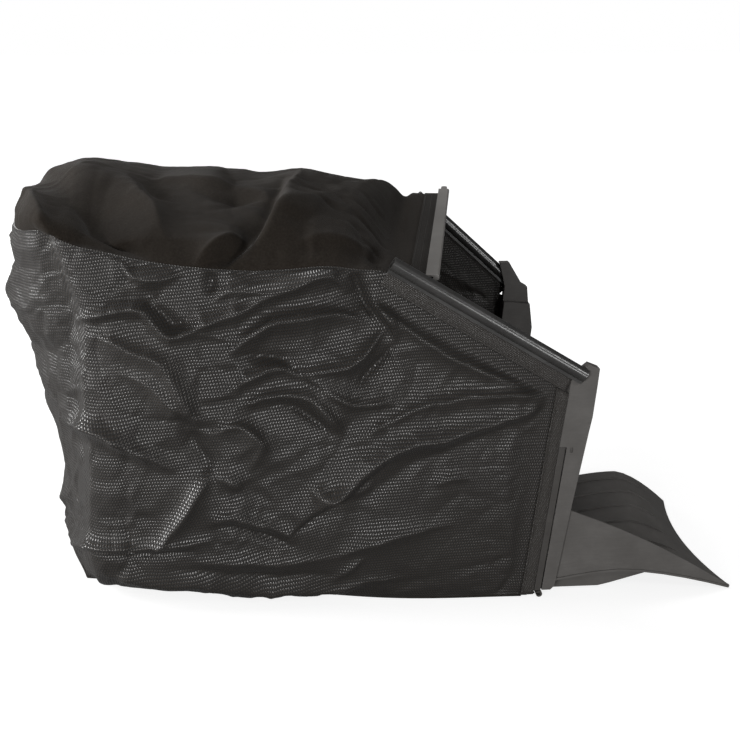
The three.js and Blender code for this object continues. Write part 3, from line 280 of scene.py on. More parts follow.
def object_from(name, vertices, faces, material, uv=None):
    mesh = bpy.data.meshes.new(name)
    mesh.from_pydata([tuple(p) for p in vertices], [], [tuple(f) for f in faces])
    if uv is not None:
        layer = mesh.uv_layers.new(name="weave")
        loops = np.zeros(len(mesh.loops), int)
        mesh.loops.foreach_get("vertex_index", loops)
        layer.data.foreach_set("uv", np.asarray(uv, float)[loops].ravel())
    mesh.polygons.foreach_set("use_smooth", [True] * len(mesh.polygons))
    mesh.materials.append(material)
    mesh.update()
    return add_object(name, mesh)


def grid_faces(columns, rows, flip):
    i, j = np.meshgrid(np.arange(columns), np.arange(rows), indexing="ij")
    a = (i * (rows + 1) + j).ravel()
    quads = np.stack([a, a + rows + 1, a + rows + 2, a + 1], axis=1)
    return quads[:, ::-1] if flip else quads


def run_along(points, axis):
    steps = np.linalg.norm(np.diff(points, axis=axis), axis=-1)
    total = np.cumsum(steps, axis=axis)
    first = np.zeros_like(np.take(total, [0], axis=axis))
    return np.concatenate([first, total], axis=axis)


def cloth_from(name, points, outward, material, thickness, uv=None):
    """A sheet of cloth from a grid of points on its outer face."""
    columns, rows = points.shape[0] - 1, points.shape[1] - 1
    a = np.gradient(points, axis=0)
    b = np.gradient(points, axis=1)
    flip = (np.cross(a, b).mean(axis=(0, 1)) @ np.asarray(outward, float)) < 0
    if uv is None:
        uv = np.stack([run_along(points, 0), run_along(points, 1)], axis=-1)
    faces = grid_faces(columns, rows, flip)
    made = object_from(name, place(points).reshape(-1, 3), faces, material, uv.reshape(-1, 2))
    if thickness:
        solid = made.modifiers.new("thickness", "SOLIDIFY")
        solid.thickness = thickness / 1000
        solid.offset = -1
    return made


def tube_from(name, path, radius, material, sides=8):
    """A round tube with closed ends along a path of points."""
    path = np.asarray(path, float)
    along = np.gradient(path, axis=0)
    along /= np.linalg.norm(along, axis=1, keepdims=True)
    hint = np.array([0.0, 0.0, 1.0])
    across = np.cross(along, hint)
    weak = np.linalg.norm(across, axis=1) < 0.05
    across[weak] = np.cross(along[weak], [0.0, 1.0, 0.0])
    across /= np.linalg.norm(across, axis=1, keepdims=True)
    up = np.cross(across, along)
    angle = np.linspace(0, 2 * math.pi, sides, endpoint=False)
    ring = (across[:, None] * (np.cos(angle) * radius)[None, :, None]
            + up[:, None] * (np.sin(angle) * radius)[None, :, None])
    points = (path[:, None] + ring).reshape(-1, 3)
    faces = []
    for k in range(len(path) - 1):
        for s in range(sides):
            e = (s + 1) % sides
            faces.append((k * sides + s, (k + 1) * sides + s, (k + 1) * sides + e, k * sides + e))
    faces.append(tuple(range(sides)))
    faces.append(tuple(reversed(range((len(path) - 1) * sides, len(path) * sides))))
    lengths = np.repeat(run_along(path, 0), sides)
    turns = np.tile(angle * radius, len(path))
    return object_from(name, place(points), faces, material, np.stack([lengths, turns], axis=1))


def finish_piece(piece, nodes):
    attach(piece, BODY)
    if nodes:
        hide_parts(*nodes)
    return piece


# Materials
def preset(node, **values):
    for key, value in values.items():
        node.inputs[key.replace("_", " ")].default_value = value


class Nodes:
    """Builds one procedural material."""

    def __init__(self, name):
        self.material = bpy.data.materials.new(name)
        self.material.use_nodes = True
        self.tree = self.material.node_tree
        self.shader = self.tree.nodes["Principled BSDF"]

    def add(self, kind, **inputs):
        made = self.tree.nodes.new(kind)
        for key, value in inputs.items():
            setattr(made, key, value)
        return made

    def link(self, a, b):
        self.tree.links.new(a, b)

    def place_of(self, scale):
        coordinates = self.add("ShaderNodeTexCoord")
        mapping = self.add("ShaderNodeMapping")
        preset(mapping, Scale=scale if hasattr(scale, "__len__") else (scale,) * 3)
        self.link(coordinates.outputs["Object"], mapping.inputs["Vector"])
        return mapping.outputs["Vector"]

    def noise(self, vector, scale, detail=3.0, roughness=0.5):
        made = self.add("ShaderNodeTexNoise")
        preset(made, Scale=scale, Detail=detail, Roughness=roughness)
        self.link(vector, made.inputs["Vector"])
        return made.outputs["Fac"]

    def math(self, operation, a, b=None, c=None):
        made = self.add("ShaderNodeMath", operation=operation)
        for k, value in enumerate((a, b, c)):
            if value is None:
                continue
            if isinstance(value, (int, float)):
                made.inputs[k].default_value = value
            else:
                self.link(value, made.inputs[k])
        return made.outputs[0]

    def times(self, a, b):
        return self.math("MULTIPLY", a, b)

    def times_add(self, a, b, c):
        return self.math("MULTIPLY_ADD", a, b, c)

    def weave_place(self):
        """The cloth's own two directions, in mm along it."""
        coordinates = self.add("ShaderNodeTexCoord")
        apart = self.add("ShaderNodeSeparateXYZ")
        self.link(coordinates.outputs["UV"], apart.inputs[0])
        return apart.outputs[0], apart.outputs[1]

    def ramp(self, fac, stops):
        made = self.add("ShaderNodeValToRGB")
        elements = made.color_ramp.elements
        while len(elements) < len(stops):
            elements.new(0.5)
        for element, (position, colour) in zip(elements, stops):
            element.position = position
            element.color = (*colour, 1.0)
        self.link(fac, made.inputs["Fac"])
        return made.outputs["Color"]

    def spread(self, fac, low, high):
        made = self.add("ShaderNodeMapRange")
        preset(made, To_Min=low, To_Max=high)
        self.link(fac, made.inputs["Value"])
        return made.outputs["Result"]

    def bump(self, height, strength, distance, before=None):
        made = self.add("ShaderNodeBump")
        preset(made, Strength=strength, Distance=distance)
        self.link(height, made.inputs["Height"])
        if before is not None:
            self.link(before, made.inputs["Normal"])
        return made.outputs["Normal"]

    def set(self, **values):
        for key, value in values.items():
            socket = self.shader.inputs[key.replace("_", " ")]
            if hasattr(value, "is_output"):
                self.link(value, socket)
            else:
                socket.default_value = value


def grey(level, warm=0.0):
    """A linear colour from a display level of 0 to 255."""
    linear = lambda c: ((c / 255 + 0.055) / 1.055) ** 2.4 if c > 10 else c / 255 / 12.92
    return (linear(level + warm), linear(level), linear(level - warm))


def plastic(name, level, warm, roughness, grain, gloss=0.4):
    """Moulded plastic: fine grain, soft blotches and paler worn places."""
    made = Nodes(name)
    here = made.place_of(1.0)
    fine = made.noise(here, 2600.0, 2.0)
    wide = made.noise(here, 28.0, 4.0, 0.6)
    scuff = made.noise(made.place_of((60.0, 60.0, 420.0)), 1.0, 5.0, 0.7)
    tone = made.times_add(scuff, 0.35, made.times(wide, 0.65))
    made.set(Base_Color=made.ramp(tone, [
        (0.3, grey(level - 9, warm)), (0.52, grey(level, warm)), (0.78, grey(level + 13, warm)),
    ]))
    made.set(Roughness=made.spread(tone, roughness - 0.08, roughness + 0.1))
    made.set(Specular_IOR_Level=gloss)
    made.set(Normal=made.bump(fine, grain, 0.0003, made.bump(scuff, 0.05, 0.0005)))
    return made.material


def mesh_cloth(name, strand, hole_shade, row, column):
    """Open knitted mesh: shiny strands round holes painted dark, as painted shade of the bag's inside
    seen through them, in offset rows.
    """
    made = Nodes(name)
    first, second = made.weave_place()
    here = made.place_of(1.0)
    waver = made.times(made.noise(here, 35.0, 2.0), 2.2)
    across = made.math("ADD", made.times(first, 2 * math.pi / column), waver)
    down = made.math("ADD", made.times(second, 2 * math.pi / row), waver)
    holes = made.times(made.math("COSINE", across), made.math("COSINE", down))
    open_share = made.times_add(holes, 0.5, 0.5)
    lines = made.times_add(made.math("COSINE", made.times(down, 2.0)), 0.5, 0.5)
    body = made.times_add(lines, -0.45, open_share)
    worn = made.noise(here, 16.0, 4.0, 0.6)
    cover = made.times_add(worn, 0.22, body)
    # The upper stops colour the holes: painted shade of the bag's inside seen through them.
    made.set(Base_Color=made.ramp(cover, [
        (0.06, grey(strand + 20, 6)), (0.24, grey(strand, 5)), (0.55, grey(mix(strand, hole_shade, 0.6), 4)),
        (0.8, grey(hole_shade, 2)),
    ]))
    made.set(Roughness=made.spread(body, 0.3, 1.5))
    made.set(Specular_IOR_Level=1.0, Sheen_Weight=0.02, Sheen_Roughness=0.4)
    made.set(Normal=made.bump(made.times(body, -1.0), 0.4, 0.0009))
    return made.material


def woven_cloth(name, level, pitch, roughness=0.9, warm=4.0, depth=0.0003):
    """Close plain weave with slubs and faint dust."""
    made = Nodes(name)
    first, second = made.weave_place()
    here = made.place_of(1.0)
    warp = made.math("SINE", made.times(first, 2 * math.pi / pitch))
    weft = made.math("SINE", made.times(second, 2 * math.pi / pitch))
    threads = made.times_add(made.times(warp, weft), 0.5, 0.5)
    slub = made.noise(here, 420.0, 3.0, 0.7)
    dust = made.noise(here, 11.0, 5.0, 0.65)
    soft = made.times_add(slub, 0.5, made.times(dust, 0.3))
    tone = made.times_add(threads, 0.2, soft)
    made.set(Base_Color=made.ramp(tone, [
        (0.32, grey(level - 10, warm)), (0.5, grey(level, warm)), (0.68, grey(level + 12, warm)),
    ]))
    made.set(Roughness=roughness, Specular_IOR_Level=0.12, Sheen_Weight=0.05, Sheen_Roughness=0.5)
    weave = made.times_add(threads, 0.7, made.times(slub, 0.5))
    made.set(Normal=made.bump(weave, 0.6, depth))
    return made.material


MOULDED = plastic("moulded_plastic_look", 98, 2.5, 0.5, 0.25)
RAIL_LOOK = plastic("rail_plastic_look", 58, 1.0, 0.27, 0.05, 1.0)
# The top strip's base colour is painted paler than the moulded plastic: painted sheen of the light from
# above glancing off its glossy top face.
STRIP_SHEEN_LOOK = plastic("strip_painted_sheen_look", 138, 3.0, 0.4, 0.1, 0.5)
CLIP_LOOK = plastic("clip_plastic_look", 74, 2.5, 0.4, 0.1, 0.45)
# The mesh's holes are near black: painted shade of the bag's inside seen through them.
MESH_LOOK = mesh_cloth("mesh_cloth_look", 29, 3, 7.0, 3.0)
HEM_LOOK = mesh_cloth("folded_mesh_look", 36, 27, 3.4, 2.0)
WOVEN_LOOK = woven_cloth("woven_cloth_look", 37, 1.3, warm=5.0)
TAPE_LOOK = woven_cloth("binding_tape_look", 42, 1.1, 0.85, 3.0)
THREAD_LOOK = woven_cloth("thread_look", 78, 0.5, 0.6, 2.0)


# The lines that the CAD model's rails lie on
class Rail:
    """A rail's axis. travel runs back from its tip, and rise stands square to it."""

    def __init__(self, length, slope, tip_x, tip_z, y):
        angle = math.radians(slope)
        self.length = length
        self.back = np.array([-math.cos(angle), 0.0, math.sin(angle)])
        self.up = np.array([math.sin(angle), 0.0, math.cos(angle)])
        self.tip = np.array([tip_x, y, tip_z])
        self.y = y

    def at(self, travel, rise):
        travel, rise = np.asarray(travel, float)[..., None], np.asarray(rise, float)[..., None]
        return self.tip + self.back * travel + self.up * rise


# length, slope in degrees, the tip's X and Z, and Y
NEAR_RAIL = Rail(245.0, 31.2, TAB_FRONT_X - RAIL_TIP_SETBACK, TAB_HEIGHT - 5.0, 0.0)
FAR_RAIL = Rail(185.0, 42.5, TAB_FRONT_X - RAIL_TIP_SETBACK, TAB_HEIGHT + 4.0, FRAME_WIDTH)


def arm_rear(z):
    return ARM_FOOT_X + ARM_LEAN * z - mix(ARM_FOOT_WIDTH, ARM_KNEE_WIDTH, z / KNEE_HEIGHT)


def hem_front(line, z):
    top = line.at(RAIL_HEM_START, JAW_FOOT - GAP)
    upper = mix(arm_rear(CLIP_TOP), top[0], (z - CLIP_TOP) / (top[2] - CLIP_TOP)) - GAP
    return np.where(z <= CLIP_TOP, arm_rear(z) - GAP, upper)


def hem_corner(line, inset, drop):
    low, high = CLIP_TOP, TAB_HEIGHT + 5
    for _ in range(40):
        z = (low + high) / 2
        x = float(hem_front(line, np.array(z))) - inset
        offset = np.array([x - line.tip[0], 0.0, z - line.tip[2]])
        if offset @ line.up < JAW_FOOT - drop:
            low = z
        else:
            high = z
    return low


def front_edge(line, y, inset, drop, foot_gap):
    top = hem_corner(line, inset, drop)

    def edge(v):
        z = mix(foot_gap, top, v)
        return np.stack([hem_front(line, z) - inset, np.full_like(z, y), z], axis=-1)

    return edge


# Seams of the standing bag
FRONT_FOOT_X = arm_rear(FOOT_Z) - GAP - HEM_WIDTH / 2


def rail_foot(line):
    return line.at(line.length, JAW_FOOT - GAP)


NEAR_SEAM = [
    REAR_NEAR_TOP, (-545, 14, 424), (-524, 8, 415), (-497, 6, 409), (-462, 3, 401), (-420, 1, 394),
    (-377, 0, 390), (-338, 2, 387), (-300, -1, 389), (-264, 0, 391), (-232, 1, 387),
    tuple(rail_foot(NEAR_RAIL)),
]


def far_seam_points():
    end = rail_foot(FAR_RAIL)
    points = []
    for t in np.linspace(0, 1, 9):
        points.append((
            mix(REAR_FAR_TOP[0], end[0], t),
            mix(REAR_FAR_TOP[1], end[1], smooth(t) ** 0.7) + 2.5 * math.sin(11 * t),
            mix(REAR_FAR_TOP[2], end[2], t) + 10 * math.sin(math.pi * t) + 3 * math.sin(17 * t),
        ))
    return points


FAR_SEAM = far_seam_points()
REAR_SEAM = [
    REAR_NEAR_TOP, (-566, 30, 428), (-586, 62, 422), (-602, 104, 418), (-612, 150, 419), (-616, 204, 421),
    (-615, 250, 424), (-608, 300, 430), (-592, 350, 436), REAR_FAR_TOP,
]


def rear_crease(top, foot, tuck):
    def at(t, pull):
        return (mix(foot[0], top[0], t) + pull, mix(foot[1], top[1], t ** 0.5), mix(SEAM_Z, top[2], t))
    return [
        at(0, 0), at(0.12, -3), at(0.25, 2), at(0.5, tuck * 0.55), at(0.64, tuck * 0.6),
        at(0.78, tuck), at(0.9, tuck * 0.5), top,
    ]


NEAR_CREASE = rear_crease(REAR_NEAR_TOP, REAR_NEAR_FOOT, CREASE_TUCK)
FAR_CREASE = rear_crease(REAR_FAR_TOP, REAR_FAR_FOOT, CREASE_TUCK)


def foot_seam(foot, y, turn):
    return [
        (foot[0], foot[1], SEAM_Z),
        (mix(foot[0], FRONT_FOOT_X, 0.35), mix(foot[1], y + turn * 14, 0.5), SEAM_Z),
        (mix(foot[0], FRONT_FOOT_X, 0.7), y + turn * 8, SEAM_Z),
        (FRONT_FOOT_X, y + turn, SEAM_Z),
    ]


NEAR_FOOT = foot_seam(REAR_NEAR_FOOT, 0.0, 1)
FAR_FOOT = foot_seam(REAR_FAR_FOOT, FRAME_WIDTH, -1)
REAR_FOOT = [
    (*REAR_NEAR_FOOT, SEAM_Z),
    (
        mix(REAR_NEAR_FOOT[0], REAR_FAR_FOOT[0], 0.5) - REAR_SWELL_FOOT,
        mix(REAR_NEAR_FOOT[1], REAR_FAR_FOOT[1], 0.5), SEAM_Z,
    ),
    (*REAR_FAR_FOOT, SEAM_Z),
]

def folds(*rows):
    """Drawn folds. A row has the reach to the right and left, then x, y and height of each point."""
    return [(np.reshape(row[2:], (-1, 3)), row[0], row[1]) for row in rows]


# Drawn over the photograph: x and y in its pixels, height in mm
NEAR_FOLDS = folds(
    # long folds that fan out from the front top corner
    (16, 9,  572, 396, 3, 520, 412, 9, 440, 437, 12, 398, 448, 11, 352, 482, 12, 318, 508, 9,
     280, 545, 2),
    (9, 12,  570, 392, 2, 500, 392, 7, 430, 402, 6, 372, 430, 3),
    (10, 12,  560, 388, 2, 486, 372, 6, 420, 340, 5, 392, 318, 2),
    (8, 6,  398, 455, -1, 352, 492, -7, 312, 520, -8, 276, 548, -3),
    (16, 12,  560, 402, -1, 490, 432, -4, 420, 462, -4, 360, 500, -3),
    (6, 6,  334, 478, 1, 318, 490, 6, 344, 493, 5, 372, 486, 1),
    # the deep crease behind the rail's end
    (8, 9,  349, 268, -1, 357, 285, -12, 366, 303, -13, 374, 313, -4),
    (5, 9,  372, 286, 1, 378, 303, 9, 390, 322, 6, 396, 340, 1),
    (12, 9,  346, 290, 1, 330, 275, 8, 285, 290, 8, 240, 311, 7, 206, 322, 2),
    (7, 7,  395, 344, -1, 383, 357, -8, 368, 374, -8, 357, 388, -1),
    (9, 8,  386, 326, 1, 366, 350, 9, 344, 366, 9, 312, 372, 4, 296, 370, 1),
    # swirls in the upper middle
    (13, 9,  228, 356, 1, 248, 338, 7, 270, 322, 9, 306, 318, 9, 344, 316, 5, 362, 322, 1),
    (8, 9,  240, 355, -1, 268, 358, -8, 292, 366, -9, 312, 384, -8, 346, 398, -3),
    (8, 10,  226, 394, 1, 248, 378, 6, 277, 366, 8, 296, 372, 7, 322, 388, 8, 352, 404, 7, 384, 402, 4,
     402, 404, 1),
    (7, 10,  244, 404, 1, 262, 398, 7, 292, 394, 6, 312, 400, 8, 330, 418, 9, 342, 432, 2),
    (8, 8,  262, 410, -1, 290, 406, -6, 316, 422, -6, 330, 438, -1),
    (12, 7,  212, 434, 1, 238, 427, 6, 258, 436, 7, 266, 446, 2),
    # the zigzag below the top seam
    (9, 10,  80, 318, 2, 112, 312, 8, 144, 309, 9, 152, 318, 8, 170, 337, 8, 200, 325, 6, 232, 308, 3),
    (9, 9,  146, 300, -1, 160, 312, -9, 172, 326, -9, 184, 318, -2),
    (7, 9,  84, 308, -1, 120, 302, -7, 150, 297, -6, 166, 286, -1),
    (6, 9,  122, 262, 1, 134, 276, 6, 160, 280, 5, 182, 274, 1),
    (8, 7,  206, 268, -1, 210, 284, -8, 204, 296, -1),
    (7, 8,  214, 300, 1, 232, 290, 6, 262, 292, 6, 290, 284, 2),
    # soft facets on the left
    (16, 12,  86, 336, 1, 128, 348, 7, 160, 362, 9, 180, 392, 7, 196, 424, 3),
    (9, 12,  118, 372, 1, 150, 384, 5, 176, 410, 6, 204, 420, 1),
    (16, 12,  182, 412, -2, 192, 440, -8, 206, 462, -8, 214, 480, -1),
    (7, 13,  62, 419, 2, 92, 431, 9, 130, 449, 9, 172, 469, 2),
    (12, 10,  70, 436, -1, 104, 450, -4, 140, 464, -3, 170, 476, -1),
    # the Y below, and the ridge beside it
    (7, 12,  210, 470, 3, 196, 496, 10, 178, 524, 9, 152, 558, 2),
    (8, 7,  216, 476, 2, 234, 482, 6, 242, 492, 1),
    (10, 10,  206, 526, 1, 226, 516, 8, 256, 522, 8, 292, 536, 3),
    (6, 8,  212, 528, -1, 234, 526, -6, 262, 536, -7, 290, 546, -2),
    (16, 14,  250, 470, 1, 262, 450, 6, 272, 436, 2),
    # level folds of the sagging foot
    (7, 7,  70, 540, 1, 90, 546, 8, 124, 548, 9, 166, 545, 5, 210, 541, 2),
    (6, 6,  84, 550, -2, 124, 555, -10, 160, 555, -7, 196, 550, -1),
    (8, 8,  96, 572, 2, 150, 578, 7, 212, 580, 8, 270, 587, 9, 346, 583, 5, 400, 578, 1),
    (6, 7,  170, 570, -1, 222, 572, -5, 280, 577, -5, 330, 573, -1),
    (7, 7,  196, 562, 1, 250, 560, 5, 300, 560, 3, 330, 556, 1),
    (10, 10,  334, 556, 1, 366, 544, 6, 410, 532, 5, 452, 522, 1),
    (5, 6,  330, 576, 1, 352, 566, 4, 362, 560, 1),
    (7, 7,  436, 484, 1, 452, 478, 4, 470, 480, 1),
    (18, 22,  520, 420, 1, 505, 470, 3, 510, 540, 3, 512, 580, 1),
)

TOP_FOLDS = folds(
    (20, 26,  50, 176, 4, 84, 180, 12, 112, 188, 14, 144, 207, 13, 164, 233, 3),
    (22, 26,  70, 200, -8, 96, 214, -26, 118, 236, -22, 138, 252, -6),
    (9, 14,  28, 190, 3, 35, 209, 10, 52, 232, 3),
    (7, 9,  132, 189, -1, 152, 197, -9, 174, 204, -1),
    (7, 14,  150, 186, 1, 186, 186, 7, 222, 189, 8, 270, 194, 2),
    (6, 7,  196, 194, -1, 230, 199, -8, 266, 199, -1),
    (10, 14,  284, 174, -1, 274, 196, -9, 266, 214, -12, 252, 236, -14, 236, 254, -11, 220, 268, -3),
    (10, 22,  300, 172, 1, 290, 196, 9, 284, 216, 12, 268, 238, 11, 240, 258, 7, 224, 268, 1),
    (8, 9,  196, 264, 1, 210, 250, 8, 232, 240, 8, 246, 238, 1),
    (6, 6,  204, 268, -1, 222, 256, -6, 240, 250, -1),
    (14, 16,  344, 190, 1, 312, 206, 6, 272, 226, 5, 244, 246, 1),
    (6, 7,  362, 256, -1, 376, 260, -5, 392, 264, -1),
    (9, 10,  300, 244, 1, 330, 240, 5, 366, 248, 1),
    (14, 12,  226, 168, -2, 236, 186, -5, 232, 206, -1),
)

# Invented, for the back: Y, Z and height in mm
REAR_FOLDS = folds(
    (20, 16,  60, 400, 2, 110, 360, 10, 190, 330, 8, 260, 345, 2),
    (22, 18,  90, 300, 2, 170, 270, 9, 240, 230, 7, 310, 240, 2),
    (18, 18,  330, 380, 2, 280, 330, 9, 230, 290, 3),
    (20, 16,  110, 190, 1, 180, 200, 8, 250, 160, 7, 300, 120, 1),
    (14, 14,  100, 120, 1, 150, 80, 8, 230, 60, 6, 320, 70, 1),
    (18, 16,  150, 390, -1, 170, 330, -8, 150, 280, -1),
    (18, 18,  260, 190, -1, 300, 150, -8, 310, 90, -1),
    (18, 20,  330, 300, 1, 300, 220, 7, 320, 140, 1),
)

# Invented, for the far side: X, Z and height in mm
FAR_FOLDS = folds(
    (16, 12,  0, 230, 2, -90, 200, 9, -190, 150, 9, -280, 80, 2),
    (14, 14,  -30, 262, 2, -130, 262, 7, -220, 300, 2),
    (12, 12,  -160, 380, -1, -190, 320, -10, -180, 270, -1),
    (14, 12,  -230, 350, 1, -300, 320, 8, -400, 330, 7, -500, 300, 1),
    (16, 14,  -250, 270, 1, -330, 250, 8, -420, 210, 8, -520, 220, 1),
    (16, 14,  -300, 180, 1, -380, 150, 8, -470, 160, 7, -540, 120, 1),
    (14, 12,  -120, 130, 1, -200, 80, 7, -300, 60, 1),
    (10, 10,  -320, 60, 1, -400, 45, 9, -500, 40, 2),
    (14, 16,  -440, 380, 1, -470, 300, 7, -450, 240, 1),
)


def crumple(x, y, seed, size, height):
    """Crisp crests and hollows between random facets, as in a stiff thin cloth."""
    x = x + size * 0.45 * noise(x / (1.7 * size), y / (1.7 * size), seed)
    y = y + size * 0.45 * noise(x / (1.7 * size), y / (1.7 * size), seed + 1)
    total = np.zeros_like(x)
    for turn, sign in ((0, 1.0), (1, -1.0)):
        place_of = np.random.RandomState(seed + 2 + turn).uniform(0.1, 0.9, (64, 64, 2))
        gx, gy = x / size + 17.3 * turn, y / (size * 0.8) + 9.1 * turn
        cx, cy = np.floor(gx).astype(int), np.floor(gy).astype(int)
        nearest, second = np.full_like(x, 9.0), np.full_like(x, 9.0)
        for i in (-1, 0, 1):
            for j in (-1, 0, 1):
                spot = place_of[(cx + i) % 64, (cy + j) % 64]
                away = np.hypot(cx + i + spot[..., 0] - gx, cy + j + spot[..., 1] - gy)
                second = np.minimum(second, np.maximum(nearest, away))
                nearest = np.minimum(nearest, away)
        strength = smooth(noise(x / (2.6 * size), y / (2.6 * size), seed + 5 + turn) + 0.55)
        total += sign * strength * (np.exp(-(second - nearest) / 0.3) - 0.35)
    return height * total


def edge_ease(u, v, reach_u, reach_v, right=True):
    """0 on a panel's edges, 1 inside. Its right edge may be left free."""
    shares = [u / reach_u, *([(1 - u) / reach_u] if right else []), v / reach_v, (1 - v) / reach_v]
    return math.prod(smooth(share) for share in shares)


def seam_then(seam, end, split, y=None):
    """An edge along a seam up to the split, and straight from there to its end."""
    start = np.asarray(seam[-1], float)

    def run(t):
        first = spline(seam, np.clip(t / split, 0, 1))
        rest = mix(start, end, np.clip((t - split) / (1 - split), 0, 1)[..., None])
        if y is not None:
            rest[..., 1] = y
        return np.where((t < split)[..., None], first, rest)

    return run


def side_base(near, u, v):
    seam, crease, foot = (NEAR_SEAM, NEAR_CREASE, NEAR_FOOT) if near else (FAR_SEAM, FAR_CREASE, FAR_FOOT)
    line = NEAR_RAIL if near else FAR_RAIL
    y = 0.0 if near else FRAME_WIDTH
    outward = -1 if near else 1
    split = 0.62
    corner = front_edge(line, y, HEM_TUCK, RAIL_HEM_TUCK, 0)(np.array(1.0))
    top = seam_then(seam, corner, split, y)
    front = front_edge(line, y, HEM_TUCK, RAIL_HEM_TUCK, SEAM_Z)
    points = patch(on_seam(foot), top, on_seam(crease), front, u, v)
    low, high = spline(foot, u)[..., 1], top(u)[..., 1]
    share = mix(0.2, 0.3, u)
    turn = np.maximum(0, 1 - v / share)
    rounded = mix(high, low, 1 - np.sqrt(np.maximum(0, 1 - turn * turn)))
    blend = smooth(np.minimum(u / 0.05, (1 - u) / 0.08))
    swell = SIDE_SWELL * np.sin(math.pi * u) * np.sin(math.pi * v ** 0.7)
    flat_edge = smooth((0.93 - v) / 0.12) * smooth((0.95 - u) / 0.1)
    points[..., 1] += (rounded - mix(low, high, v)) * blend + outward * flat_edge * swell
    under_rail = smooth((v - 0.85) / 0.06) * smooth((u - split + 0.08) / 0.08)
    under_hem = np.maximum(under_rail, smooth((u - 0.93) / 0.04))
    points[..., 1] = mix(points[..., 1], y, under_hem * smooth(v / 0.06))
    return points, under_hem


def rear_base(u, v):
    """The back, from its near corner at u 0 to its far corner at u 1."""
    points = patch(
        on_seam(REAR_FOOT), on_seam(REAR_SEAM), on_seam(NEAR_CREASE), on_seam(FAR_CREASE), u, v,
    )
    bulge = np.clip(np.sin(math.pi * u), 0, 1) ** 0.62
    points[..., 0] -= bulge * np.interp(v, REAR_BULGE[0], REAR_BULGE[1])
    return points


def on_seam(seam):
    return lambda t: spline(seam, t)


def round_corner(points, column, reach, free):
    """Rounds the turn between two panels at a column of the wrap."""
    shifts = np.arange(-3 * reach, 3 * reach + 1)
    weights = np.exp(-0.5 * (shifts / reach) ** 2)
    weights /= weights.sum()
    low, high = column - 4 * reach, column + 4 * reach
    blurred = sum(w * points[low + k:high + k] for k, w in zip(shifts, weights))
    share = np.exp(-((np.arange(low, high) - column) / (1.6 * reach)) ** 2)[:, None] * free[low:high]
    points[low:high] = mix(points[low:high], blurred, share[..., None])


NEAR_COLUMNS, REAR_COLUMNS, FAR_COLUMNS, WRAP_ROWS = 260, 120, 100, 170


def wrap_base():
    """Near side from the front hem to the back, the back, and the far side to its hem, as one grid."""
    columns = [
        np.linspace(1, 0, NEAR_COLUMNS + 1)[:-1],
        np.linspace(0, 1, REAR_COLUMNS + 1)[:-1],
        np.linspace(0, 1, FAR_COLUMNS + 1),
    ]
    rows = np.linspace(0, 1, WRAP_ROWS + 1)
    grids = [np.meshgrid(c, rows, indexing="ij") for c in columns]
    near, near_hem = side_base(True, *grids[0])
    rear = rear_base(*grids[1])
    far, far_hem = side_base(False, *grids[2])
    points = np.concatenate([near, rear, far])
    held = np.concatenate([near_hem, np.zeros(grids[1][0].shape), far_hem])
    return points, held, grids


def wrap_cloth():
    points, held, grids = wrap_base()
    near_corner, far_corner = NEAR_COLUMNS, NEAR_COLUMNS + REAR_COLUMNS
    column = np.arange(points.shape[0])[:, None] + np.zeros(points.shape[1])
    v = np.concatenate([g[1] for g in grids])
    ends = smooth((1 - v) / 0.07) * smooth(v / 0.07)
    round_corner(points, near_corner, 6, ends)
    round_corner(points, far_corner, 6, ends)
    flat = points.copy()
    n = normals(points, (-1, 0, 0))

    x, y = seen_at(points)
    x = x + 4 * noise_on(points, 0, 2, 40, 5)
    y = y + 4 * noise_on(points, 0, 2, 40, 6)
    seen = smooth((near_corner + 50 - column) / 40)
    away = smooth((column - far_corner + 20) / 20)
    height = NEAR_FOLD_GAIN * seen * fold_height(x, y, NEAR_FOLDS)
    behind = fold_height(points[..., 1], points[..., 2], REAR_FOLDS)
    height += (1 - seen) * (1 - away) * REAR_FOLD_GAIN * behind
    bent = points[..., 0] + 10 * noise_on(points, 0, 2, 60, 15)
    height += away * fold_height(bent, points[..., 2], FAR_FOLDS)

    along, up = run_along(flat, 0), flat[..., 2]
    calm = smooth((noise(along / 120, up / 120, 21) + 0.55) / 0.7)
    calm = calm * (1 - 0.75 * np.exp(-((x - 440) / 110) ** 2 - ((y - 530) / 60) ** 2))
    for seed, size, rise in WRAP_CRUMPLES:
        height += calm * crumple(along, up, seed, size, rise)
    height += 0.7 * crumple(along, up, 51, 12, 0.3)
    free = smooth(v / 0.03) * smooth((1 - v) / 0.02) * (1 - held)
    free *= smooth(column / 5) * smooth((points.shape[0] - 1 - column) / 5)
    points = points + n * (height * free)[..., None]
    points = relax(points, 1, 0.4)

    along_rear = run_along(flat[near_corner:], 0)
    along_near = run_along(flat[near_corner::-1], 0)[::-1]
    across = np.concatenate([along_near[:-1], -along_rear])
    return points, (-1, 0, 0), np.stack([across, run_along(flat, 1)], axis=-1)


STRIP_ALONG = (STRIP_FAR - STRIP_NEAR) / np.linalg.norm(STRIP_FAR - STRIP_NEAR)
STRIP_ACROSS = np.cross(STRIP_ALONG, [0.0, 0.0, 1.0])
STRIP_ACROSS /= np.linalg.norm(STRIP_ACROSS)


def strip_edge(t, back):
    t, back = np.asarray(t, float)[..., None], np.asarray(back, float)[..., None]
    return mix(STRIP_NEAR, STRIP_FAR, t) - STRIP_ACROSS * (STRIP_WIDTH / 2 + back)


def under_strip(points):
    run = (STRIP_FAR - STRIP_NEAR)[:2]
    t = ((points[..., :2] - STRIP_NEAR[:2]) @ run) / (run @ run)
    return mix(STRIP_NEAR[2], STRIP_FAR[2], t) - TAPE / 2 - GAP


